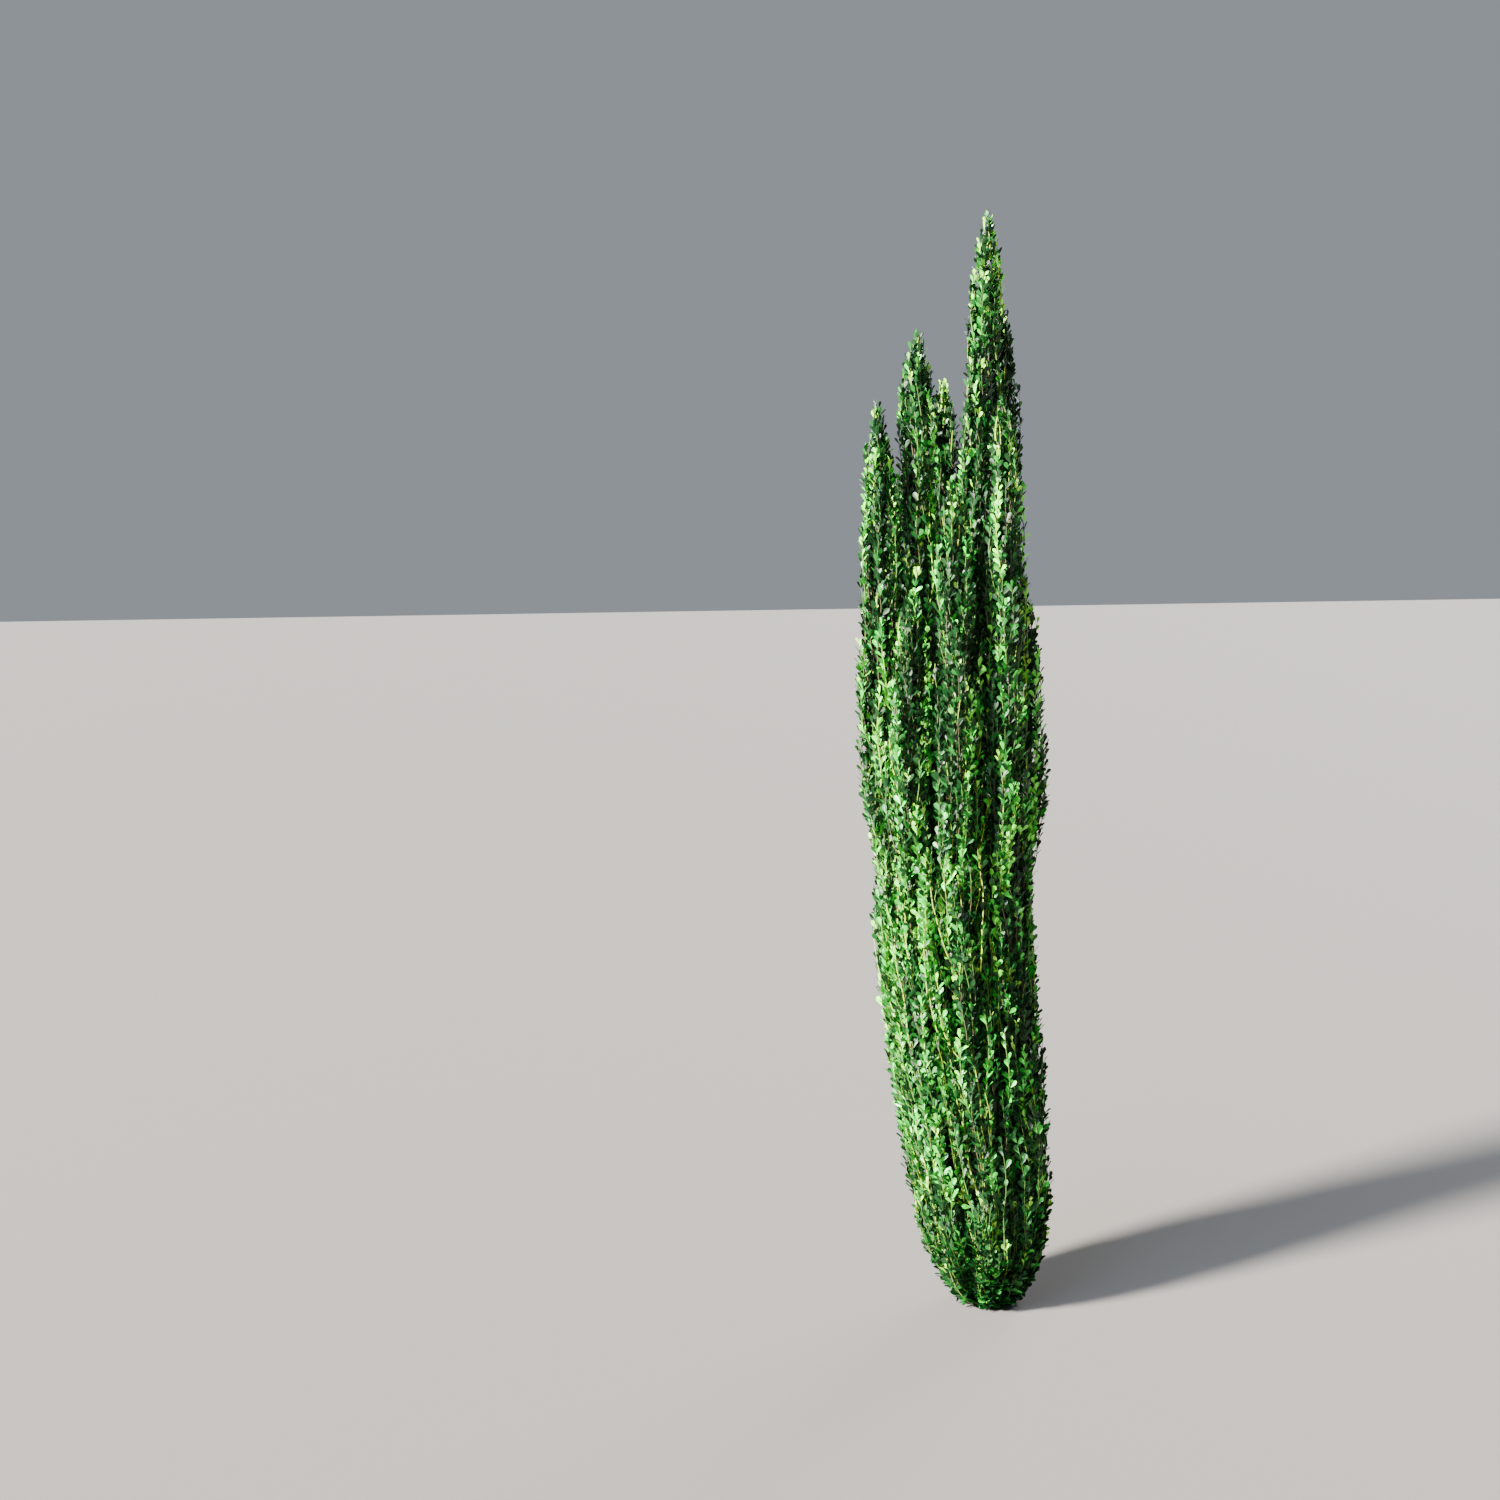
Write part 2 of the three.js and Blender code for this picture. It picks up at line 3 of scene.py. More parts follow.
import bpy
import numpy as np
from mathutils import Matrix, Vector


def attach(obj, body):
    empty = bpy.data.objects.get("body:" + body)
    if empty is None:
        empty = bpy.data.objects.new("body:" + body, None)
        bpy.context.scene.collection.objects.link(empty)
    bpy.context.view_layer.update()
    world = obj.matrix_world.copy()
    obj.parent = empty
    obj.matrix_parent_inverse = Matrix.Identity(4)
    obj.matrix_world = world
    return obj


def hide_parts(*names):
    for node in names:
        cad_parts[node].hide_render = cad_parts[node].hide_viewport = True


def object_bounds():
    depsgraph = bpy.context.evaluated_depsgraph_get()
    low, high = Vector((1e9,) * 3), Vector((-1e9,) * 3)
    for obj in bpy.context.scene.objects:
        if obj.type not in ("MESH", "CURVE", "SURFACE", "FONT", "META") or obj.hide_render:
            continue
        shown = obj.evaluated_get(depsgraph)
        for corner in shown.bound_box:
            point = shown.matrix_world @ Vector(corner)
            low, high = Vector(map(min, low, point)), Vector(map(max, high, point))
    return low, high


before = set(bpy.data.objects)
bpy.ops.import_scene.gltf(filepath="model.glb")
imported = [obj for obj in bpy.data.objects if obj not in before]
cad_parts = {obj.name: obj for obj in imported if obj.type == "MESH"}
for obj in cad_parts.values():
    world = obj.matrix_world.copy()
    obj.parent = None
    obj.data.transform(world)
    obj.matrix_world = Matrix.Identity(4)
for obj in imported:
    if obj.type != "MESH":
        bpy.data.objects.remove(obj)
cad_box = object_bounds()
scene = bpy.context.scene

# The camera stands at eye level, nearly four metres from the shrub and half a metre to its left. It tips down
# a little and leans to one side by less than a degree, so that foot and top stand as they do in the picture.
EYE = (-0.511, -3.891, 1.713)
TIPPED_DOWN = math.radians(6.67)
LEANING = math.radians(0.88)
SENSOR = 36.0  # its width in millimetres
PICTURE_WIDTH = 1500  # in pixels
FOCAL_PIXELS = 1800  # the focal length, in the same pixels

camera = bpy.data.objects.new("camera", bpy.data.cameras.new("camera"))
scene.collection.objects.link(camera)
camera.location = EYE
camera.rotation_euler = (math.pi / 2 - TIPPED_DOWN, LEANING, 0)
camera.data.sensor_width = SENSOR
camera.data.lens = SENSOR * FOCAL_PIXELS / PICTURE_WIDTH
scene.camera = camera

# The trunk is a short stool of living wood that flares into the ground, where the flat cut is. Its bark is
# thin, grey-brown and shallowly ridged. The foliage round the foot hides nearly all of it.
TRUNK_HEIGHT = 0.060
TRUNK_RADIUS = 0.027
FLARE = 0.009  # extra radius at the ground
FLARE_FADE = 0.013  # height over which the flare fades
FLARE_LOBES = 7
LOBE_SHARE = 0.1  # how far the lobes stand out at the ground, as a share of the radius
TRUNK_SHOULDER = 0.008  # its top edge is rounded by this much
TRUNK_SIDES = 96
TRUNK_RINGS = 40
TRUNK_RELIEF = 0.0008  # half the depth of the furrows in its bark
TRUNK_SEED = 1
RIDGE_WIDTH = 0.007  # from one ridge of the bark to the next
FEWEST_RIDGES = 3
RIDGE_LENGTH = 0.05  # height over which a ridge wanders to both sides and back
WANDER_CLIMBING = 1.2  # how far, in radians of the ridges' own wave
WANDER_ROUND = 0.8  # how far ridges crowd and spread round the stem, in the same radians
WANDER_LOBES = 3
BROAD_SHARE = 0.65  # of the relief, in broad ridges; the rest is in finer ones between them
FINE_SLANT = 9  # how fast the finer ones shift round as they climb, in half waves for each ridge length
FADING_SHARE = 0.4  # how much ridges come and go
FADING_LOBES = 2

BARK_BROWN = "#6b5c4d"
# painted shade, laid into the bark's cracks
BARK_CRACK_SHADE = "#43392f"
BARK_SPOT = "#8f8270"
BARK_ROUGHNESS = 0.85
BARK_IOR = 1.45
CRACK_WIDTH = 0.003  # from one crack to the next, drawn a little wider than life so that it shows
CRACK_LENGTH = 0.025  # along the stem
CRACK_DEPTH = 0.0006
CRACK_DETAIL = 4.0  # how many times the pattern repeats at half the size
CRACK_EDGES = (0.40, 0.55)  # values of the pattern where a crack ends and where sound bark begins
SPOT_SIZE = 0.007
SPOT_EDGES = (0.58, 0.68)  # values of the pattern where a spot begins and where it is full
MIX_SHARE, MIX_UNDER, MIX_OVER, MIX_RESULT = 0, 6, 7, 2  # a mix node's colour sockets share their names


def linear(colour):
    """The linear colour of an sRGB hex value."""
    shares = [int(colour[k : k + 2], 16) / 255 for k in (1, 3, 5)]
    return [c / 12.92 if c <= 0.04045 else ((c + 0.055) / 1.055) ** 2.4 for c in shares] + [1.0]


def add_node(material, kind, inputs, **settings):
    """A node of a material. Its inputs are values, or the sockets of other nodes that feed them."""
    node = material.node_tree.nodes.new(kind)
    for name, value in settings.items():
        setattr(node, name, value)
    for name, value in inputs.items():
        if isinstance(value, bpy.types.NodeSocket):
            material.node_tree.links.new(value, node.inputs[name])
        else:
            node.inputs[name].default_value = value
    return node


def bare_material(name):
    """A material that has no nodes yet."""
    material = bpy.data.materials.new(name)
    material.use_nodes = True
    material.node_tree.nodes.clear()
    return material


def thin_bark():
    """Bark of a young stem. It is dull and grey-brown, with fine cracks along it painted darker as painted
    shade, and pale corky spots.
    """
    material = bare_material("thin_grey_brown_bark")
    place = add_node(material, "ShaderNodeTexCoord", {}).outputs["Object"]
    drawn_out = add_node(
        material, "ShaderNodeMapping", {"Vector": place, "Scale": (1, 1, CRACK_WIDTH / CRACK_LENGTH)}
    )
    cracks = add_node(
        material, "ShaderNodeTexNoise",
        {"Vector": drawn_out.outputs["Vector"], "Scale": 1 / CRACK_WIDTH, "Detail": CRACK_DETAIL},
    )
    crack = add_node(
        material, "ShaderNodeMapRange",
        {"Value": cracks.outputs["Fac"], "From Min": CRACK_EDGES[0], "From Max": CRACK_EDGES[1]},
    )
    # the cracks are painted in the darker colour, as painted shade in them
    wood = add_node(
        material, "ShaderNodeMix",
        {MIX_SHARE: crack.outputs["Result"], MIX_UNDER: linear(BARK_CRACK_SHADE), MIX_OVER: linear(BARK_BROWN)},
        data_type="RGBA",
    )
    spots = add_node(material, "ShaderNodeTexNoise", {"Vector": place, "Scale": 1 / SPOT_SIZE})
    spot = add_node(
        material, "ShaderNodeMapRange",
        {"Value": spots.outputs["Fac"], "From Min": SPOT_EDGES[0], "From Max": SPOT_EDGES[1]},
    )
    colour = add_node(
        material, "ShaderNodeMix",
        {MIX_SHARE: spot.outputs["Result"], MIX_UNDER: wood.outputs[MIX_RESULT], MIX_OVER: linear(BARK_SPOT)},
        data_type="RGBA",
    )
    bump = add_node(material, "ShaderNodeBump", {"Height": cracks.outputs["Fac"], "Distance": CRACK_DEPTH})
    shader = add_node(
        material, "ShaderNodeBsdfPrincipled",
        {
            "Base Color": colour.outputs[MIX_RESULT],
            "Roughness": BARK_ROUGHNESS,
            "IOR": BARK_IOR,
            "Normal": bump.outputs["Normal"],
        },
    )
    add_node(material, "ShaderNodeOutputMaterial", {"Surface": shader.outputs["BSDF"]})
    return material


def mesh_piece(name, corners, triangles, materials, finish_of=None):
    """A smooth piece that rides on the plant. finish_of says which of the materials each triangle has."""
    mesh = bpy.data.meshes.new(name)
    mesh.vertices.add(len(corners))
    mesh.vertices.foreach_set("co", np.asarray(corners, np.float32).ravel())
    mesh.loops.add(3 * len(triangles))
    mesh.loops.foreach_set("vertex_index", np.asarray(triangles, np.int32).ravel())
    mesh.polygons.add(len(triangles))
    mesh.polygons.foreach_set("loop_start", np.arange(0, 3 * len(triangles), 3, dtype=np.int32))
    mesh.polygons.foreach_set("use_smooth", np.ones(len(triangles), bool))
    for material in materials:
        mesh.materials.append(material)
    if finish_of is not None:
        mesh.polygons.foreach_set("material_index", np.asarray(finish_of, np.int32))
    mesh.update(calc_edges=True)
    piece = bpy.data.objects.new(name, mesh)
    scene.collection.objects.link(piece)
    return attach(piece, "root")


def grid_triangles(rings, sides):
    """The triangles of a tube whose corners are numbered ring by ring from its foot, facing out."""
    ring, side = np.meshgrid(np.arange(rings - 1), np.arange(sides), indexing="ij")
    here = ring * sides + side
    beside = ring * sides + (side + 1) % sides
    lower = np.stack([here, beside, beside + sides], -1)
    upper = np.stack([here, beside + sides, here + sides], -1)
    return np.concatenate([lower.reshape(-1, 3), upper.reshape(-1, 3)])


def ridges(turn, z, radius, seed):
    """How far bark stands out, from about -1 to 1: ridges that wander as they climb and come and go."""
    random = np.random.default_rng(seed)
    phase = random.uniform(0, 2 * math.pi, 5)
    count = max(FEWEST_RIDGES, round(2 * math.pi * radius / RIDGE_WIDTH))
    wander = WANDER_CLIMBING * np.sin(2 * math.pi * z / RIDGE_LENGTH + phase[0])
    wander += WANDER_ROUND * np.sin(WANDER_LOBES * turn + phase[1])
    broad = np.sin(count * turn + wander + phase[2])
    fine = np.sin((2 * count + 1) * turn - wander + FINE_SLANT * math.pi * z / RIDGE_LENGTH + phase[3])
    fading = np.sin(FADING_LOBES * turn + math.pi * z / RIDGE_LENGTH + phase[4])
    return (BROAD_SHARE * broad + (1 - BROAD_SHARE) * fine) * (1 - FADING_SHARE + FADING_SHARE * fading)


def trunk_at(z):
    """The trunk's radius."""
    return TRUNK_RADIUS + FLARE * np.exp(-z / FLARE_FADE)


bark = thin_bark()
trunk_heights = np.linspace(0, TRUNK_HEIGHT, TRUNK_RINGS)
trunk_turns = np.linspace(0, 2 * math.pi, TRUNK_SIDES, endpoint=False)
trunk_z, trunk_turn = np.meshgrid(trunk_heights, trunk_turns, indexing="ij")
trunk_lobe = 1 + LOBE_SHARE * np.cos(FLARE_LOBES * trunk_turn) * np.exp(-trunk_z / FLARE_FADE)
trunk_past = np.clip(trunk_z - (TRUNK_HEIGHT - TRUNK_SHOULDER), 0, None)
trunk_drawn_in = TRUNK_SHOULDER - np.sqrt(np.clip(TRUNK_SHOULDER**2 - trunk_past**2, 0, None))
trunk_relief = TRUNK_RELIEF * (ridges(trunk_turn, trunk_z, TRUNK_RADIUS, TRUNK_SEED) - 1)
trunk_out = trunk_at(trunk_z) * trunk_lobe + trunk_relief - trunk_drawn_in
trunk_corners = np.stack([trunk_out * np.cos(trunk_turn), trunk_out * np.sin(trunk_turn), trunk_z], -1)
trunk_caps = np.array([[0, 0, 0], [0, 0, TRUNK_HEIGHT]])
trunk_walls = grid_triangles(TRUNK_RINGS, TRUNK_SIDES)
around = np.arange(TRUNK_SIDES)
beside = (around + 1) % TRUNK_SIDES
under_cap = np.stack([np.full(TRUNK_SIDES, trunk_z.size), beside, around], -1)
top_ring = trunk_z.size - TRUNK_SIDES
over_cap = np.stack([np.full(TRUNK_SIDES, trunk_z.size + 1), top_ring + around, top_ring + beside], -1)
trunk = mesh_piece(
    "trunk_bark",
    np.concatenate([trunk_corners.reshape(-1, 3), trunk_caps]),
    np.concatenate([trunk_walls, under_cap, over_cap]),
    [bark],
)
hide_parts("trunk")

# The boughs are the shrub's upright stems. They leave the top of the trunk close together in a ring, part
# slowly as they rise, and each runs on into a column of foliage of its own, where it stands upright.
LEAN = -0.075  # how far the middle of the shrub drifts to the left on its way up
LEAN_HEIGHT = 1.0  # where that drift is complete
GAP = 0.0003  # between two pieces that meet
RING_RADIUS = 0.0205  # of the ring of boughs on top of the trunk
BOUGH_RADIUS = 0.0052
BOUGH_TIP_RADIUS = 0.004
BOUGH_SIDES = 18
BOUGH_RING = 0.006  # height from one ring of its corners to the next
BOUGH_RELIEF = 0.0004  # half the depth of the furrows in its bark
FORK_HEIGHT = 0.4  # where the first bough enters its foliage
FORK_STEP = 0.014  # each next bough is this much taller
SPREAD_HEIGHT = 1.15  # where the columns stand at their full distance apart
SPREAD_BEND = 1.15  # above 1 the boughs stay together low down and part higher up
OVERLAP = 0.010  # how far foliage reaches across the border between two masses
COLUMN_SLACK = 0.004  # shoots stand at most this far outside the rim
SWELL_BEND = 0.8  # below 1 a column swells to its reach sooner than the boughs part
TIP_TAPER = 0.15  # length over which a column narrows to its tip
COLUMN_GROOVES = 7  # round each column, between its clusters of shoots
COLUMN_GROOVE_DEPTH = 0.16  # as a share of its half width
GROOVE_LENGTH = 0.45  # height over which a groove wanders to the sides and back
GROOVE_WANDER = 1.6  # how far it wanders, in radians of its own wave
# each column's x and y from the shrub's middle where the boughs have parted, its height and its half width
COLUMNS = {
    "leader": (0.076, 0.022, 2.400, 0.048),
    "second": (0.050, -0.044, 2.135, 0.048),
    "middle_left": (-0.076, 0.012, 2.165, 0.052),
    "right": (0.146, -0.014, 1.640, 0.056),
    "front_right": (0.092, -0.112, 2.005, 0.054),
    "front": (-0.014, -0.138, 1.843, 0.056),
    "front_left": (-0.102, -0.108, 1.615, 0.056),
    "left": (-0.158, -0.008, 2.008, 0.050),
    "back_left": (-0.112, 0.100, 1.850, 0.056),
    "back": (-0.006, 0.138, 2.060, 0.058),
    "back_right": (0.114, 0.092, 2.225, 0.054),
}


def lerp(low, high, share):
    return low + (high - low) * share


def middle_at(z):
    """Where the middle of the shrub stands at a height, to the right of its foot."""
    rise = np.clip(z / LEAN_HEIGHT, 0, 1)
    return LEAN * rise**2 * (3 - 2 * rise)


def spread_at(z):
    """How far the boughs have parted, from 0 to 1."""
    return np.clip((z - TRUNK_HEIGHT) / (SPREAD_HEIGHT - TRUNK_HEIGHT), 0, 1) ** SPREAD_BEND


def outward_at(turn):
    """Level directions, from angles round the shrub."""
    return np.stack([np.cos(turn), np.sin(turn), np.zeros_like(turn)], -1)


def groove_at(turn, z, count, phase):
    """How deep in a groove some places round a mass of foliage are, from 0 to 1."""
    wander = GROOVE_WANDER * np.sin(2 * math.pi * z / GROOVE_LENGTH + phase)
    return np.clip(np.cos(count * turn + wander + phase), 0, 1)


class Column:
    """A column of foliage. It keeps to its own side of a border between it and each other column."""

    kind = "column"

    def __init__(self, name, index):
        self.name = name
        self.x, self.y, self.tip, self.reach = COLUMNS[name]
        self.start = FORK_HEIGHT + FORK_STEP * index
        self.seed = index + 1
        self.base = (0.0, 0.0)

    def stem_at(self, z):
        spread = spread_at(z)
        x = middle_at(z) + lerp(self.base[0], self.x, spread)
        return np.stack([x, lerp(self.base[1], self.y, spread), z], -1)

    def reach_at(self, z, narrowed_at=None):
        below_tip = self.tip - (z if narrowed_at is None else narrowed_at)
        narrowing = 1 - np.exp(-np.clip(below_tip, 0, None) / TIP_TAPER)
        return self.reach * spread_at(z) ** SWELL_BEND * narrowing

    def to_rim(self, z, turn, narrowed_at=None):
        return outward_at(turn) * self.reach_at(z, narrowed_at)[..., None]

    def power_of(self, points):
        """The power of points to this column's round section, which is equal on both sides of a border."""
        from_stem = points - self.stem_at(points[..., 2])
        return (from_stem**2).sum(-1) - self.reach_at(points[..., 2]) ** 2

    def holds(self, points, slack=0):
        """Which points lie in the column's own space, or no more than some slack outside its rim."""
        z = points[..., 2]
        from_middle = np.hypot(points[..., 0] - middle_at(z), points[..., 1])
        from_stem = points - self.stem_at(z)
        turn = np.arctan2(from_stem[..., 1], from_stem[..., 0])
        groove = COLUMN_GROOVE_DEPTH * groove_at(turn, z, COLUMN_GROOVES, self.seed)
        held = (z <= self.tip) & ((z >= FOOT_TOP) | (from_middle <= bundle_at(z) + OVERLAP))
        held &= np.linalg.norm(from_stem, axis=-1) <= self.reach_at(z) * (1 - groove) + COLUMN_SLACK + slack
        for other in columns:
            if other is not self:
                apart = np.linalg.norm(self.stem_at(z) - other.stem_at(z), axis=-1)
                is_on_own_side = other.power_of(points) - self.power_of(points) > -2 * apart * OVERLAP
                held &= (z > other.tip) | is_on_own_side
        return held


def bough_bark(column):
    """A bough's line and its bark, from the top of the trunk to its fork."""
    z = np.arange(TRUNK_HEIGHT + GAP, column.start + BOUGH_RING, BOUGH_RING)
    # the rings are drawn together a little, so that the last one lies at the fork
    z = z * (column.start - TRUNK_HEIGHT - GAP) / (z[-1] - TRUNK_HEIGHT - GAP)
    z += TRUNK_HEIGHT + GAP - z[0]
    turn = np.linspace(0, 2 * math.pi, BOUGH_SIDES, endpoint=False)
    level, around = np.meshgrid(z, turn, indexing="ij")
    radius = lerp(BOUGH_RADIUS, BOUGH_TIP_RADIUS, (level - z[0]) / (z[-1] - z[0]))
    radius += BOUGH_RELIEF * (ridges(around, level, BOUGH_RADIUS, TRUNK_SEED + column.seed) - 1)
    corners = column.stem_at(level) + outward_at(around) * radius[..., None]
    bough = mesh_piece(f"bark_{column.name}", corners.reshape(-1, 3), grid_triangles(*level.shape), [bark])
    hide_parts(f"bough_{column.name}")


columns = [Column(name, index) for index, name in enumerate(COLUMNS)]
ring = sorted((c for c in columns if c.name != "leader"), key=lambda c: math.atan2(c.y, c.x))
first_turn = math.atan2(ring[0].y, ring[0].x)
for place, column in enumerate(ring):
    turn = first_turn + 2 * math.pi * place / len(ring)
    column.base = (RING_RADIUS * math.cos(turn), RING_RADIUS * math.sin(turn))
for column in columns:
    bough_bark(column)

# Each mass of foliage is one living stem clothed in steep leafy shoots. They leave it at every height, lean
# out to the rim and rise beside it, and finer ones fork from them. Old wood is brown and young wood green,
# and shoots in the shade are brown further up, partly as old wood and partly as painted shade.
# Below the columns on the boughs, seven masses stand round the foot, on stems that start beside the trunk.
FOOT_COUNT = 7
FOOT_START = 0.028  # height where their stems start, hidden in foliage and a little off the trunk
FOOT_TIP = 0.770  # height of the lowest of their tips, which differ by whole numbers of the step
FOOT_TIP_STEP = 0.024
FOOT_TIP_STRIDE = 3  # how many such steps from one foot mass to the next, round and round
FOOT_TOP = FOOT_TIP + FOOT_TIP_STEP * (FOOT_COUNT - 1)
FOOT_TAPER = 0.08  # length over which a foot mass narrows to its tip
FOOT_RUN_ON = 0.32  # the foot's shoots run on this far among the columns
FOOT_PACKING = 0.97  # how much of its share of the ring each fills
FOOT_GROOVES = 21
FOOT_GROOVE_DEPTH = 0.07  # as a share of the foot's half width
FOOT_INSIDE = 0.125  # foot shoots still come this near the middle where the bundle of boughs is wider
FOOT_SLACK = 0.006  # shoots stand at most this far outside the rim
SUN_SLACK = 0.010  # more of it on the left, where the light comes from
LOW_SLACK = 0.018  # more of it at the ground, where shoots lie out over the soil
LOW_SLACK_FADE = 0.10
FIRST_FOOT_SEED = 100
GROUND_CLEARANCE = 0.003
GROUND_HALF_WIDTH = 0.040  # of the whole shrub
FOOT_SWELL = 0.127  # how much wider the shrub grows
FOOT_RISE = 0.130  # height over which it does
BUNDLE_MARGIN = 0.0065  # clear space round the bundle of boughs inside
BUNDLE_GROWTH = 0.176  # how much wider that bundle is where the boughs have parted
GOLDEN_ANGLE = math.pi * (3 - math.sqrt(5))

STEM_RADIUS = 0.0038
STEM_STATIONS = 60
STEM_SIDES = 6
STEM_LEAFY_LENGTH = 0.22  # leaves stand on the stem itself near its tip
SHOOT_SPACING = {"column": 0.0125, "foot": 0.0085}  # height from one main shoot to the next up a stem
FIRST_SHOOT = 0.010
LAST_SHOOT = 0.040  # below the tip
SHOOT_LENGTHS = (0.20, 0.50)
SHORTEST_SHOOT = 0.025
STEM_END = 0.013  # the stem ends this far below the tip of its mass
SHOOT_ENDS = {"column": (0.012, 0.16), "foot": (0.02, 0.40)}  # how far below the tip the highest end
ENDS_BEND = 2  # above 1 more of them end near the tip than far below it
INNER_SHARE = 0.5  # of the main shoots, which stay inside in the shade
INNER_OUT = (0.30, 0.82)  # how far out these rise, as shares of the room there is
OUTER_OUT = (0.86, 1.0)  # how far out the others rise
OUTS_TRIED = np.linspace(0.1, 1.5, 29)  # to find that room, in shares of the way to the rim
OUT_TRIED_AT = (0.4, 0.6, 0.8)  # the places that have to fit, as shares of a shoot's length
REACH_TRIED_AT = np.linspace(0.1, 1, 10)  # a shoot ends at the last of these that it fits up to
OUTWARD_PULL = 0.35  # how far foot shoots turn to the outside, where the light is
KEPT_AT_TIP = 0.5  # of the shoots, where a mass narrows to its tip
SHOOT_BEND = 0.045  # length over which a shoot leans out
SHOOT_SWING = 0.5  # how far round the stem it may turn meanwhile, in radians
SHOOT_CLEARANCE = 0.004  # a shoot grows where the rim stands this far out of the other masses
SWAY = 0.004  # how far a shoot wanders to each side on its way up
SWAY_LENGTH = 0.19  # length over which it wanders to both sides and back
ASIDE = 0.055  # how far it leans aside as well, as a share of its height
ASIDE_PHASES = 3  # the way that it leans aside is its phase in the sway, times this
STRAIGHTENING = 0.10  # height over which a shoot still leans in with the narrowing tip
TURNS_TRIED = 4  # a shaded shoot turns on by the golden angle at most this often
SHOOT_RADIUS = 0.0024
SHOOT_TIP_RADIUS = 0.0006
SHOOT_STATIONS = 8
SHOOT_BARE = 0.14  # share of its length, from where it leaves the stem, that bears no leaves
SIDE_SHOOTS = 1.7  # on each main shoot, on average
SIDE_FORKS = (0.12, 0.75)  # where they fork, as shares of the main shoot's length
SIDE_LENGTHS = (0.04, 0.12)
SIDE_SWING = (0.004, 0.013)  # how far a side shoot stands off its main shoot
NARROWEST_SWING = 0.02  # where the rim is nearer than this, the swing is measured at this distance
SIDE_BEND = 0.022
SIDE_OUT = (-0.2, 0.2)  # how much further out than its main shoot it rises, as shares of the way to the rim
SIDE_OUT_LIMITS = (0.2, 1.12)  # how far out it may rise in all
SIDE_BARE = 0.06
SIDE_RADIUS = 0.0009
SIDE_STATIONS = 5
SHOOT_SIDES = 3
BRIGHT_SHARE = 0.28  # of the main shoots, whose young wood is pale
OLD_WOOD_AND_SHADE_SHARES = {"in the sun": 0.1, "in the shade": 0.8}  # the lower part of a main shoot, which is brown; in the shade more of it, partly old wood and partly painted shade
IN_SUN = 0.75  # shoots that rise at least this far out are in the sun
LOW_SHOOTS = 50  # round the bottom of each foot mass, out to the ground
LOW_SHOOT_ROOTS = 0.04  # height over which they leave the stem
LOW_SHOOT_FAN = 1.5  # radians to either side
LOW_SHOOT_LENGTHS = (0.10, 0.34)
LOW_SHOOT_SWING = 0.2
LOW_SHOOT_BEND = 0.02
LOW_SHOOT_DIP = (0.04, 0.10)  # how far they dip while they lean out
LOW_SHOOT_OUT = (0.5, 1.0)  # how far out they rise, as shares of the room there is
LOW_SHOOT_BARE = 0.1
LOOK_AHEAD = 0.02  # a shoot's direction is taken towards the point this share of its length further on
TINY = 1e-12  # keeps a vector of no length from being divided by nothing

OLD_WOOD = "#423f26"
YOUNG_WOOD = "#9cb834"
FINE_WOOD = "#4d6e28"
OLD, YOUNG, FINE = 0, 1, 2  # where each of these stands among the materials of a piece
WOOD_ROUGHNESS = 0.6
WOOD_IOR = 1.45
WOOD_GRAIN = 0.004
WOOD_GRAIN_DEPTH = 0.0002


def foot_at(z):
    """The half width of the shrub round its foot."""
    return GROUND_HALF_WIDTH + FOOT_SWELL * (1 - np.exp(-z / FOOT_RISE))


def bundle_at(z):
    """The half width of the bundle of boughs inside."""
    boughs = RING_RADIUS + BUNDLE_MARGIN + BUNDLE_GROWTH * spread_at(z)
    return np.where(z > TRUNK_HEIGHT, boughs, np.maximum(boughs, trunk_at(z)))


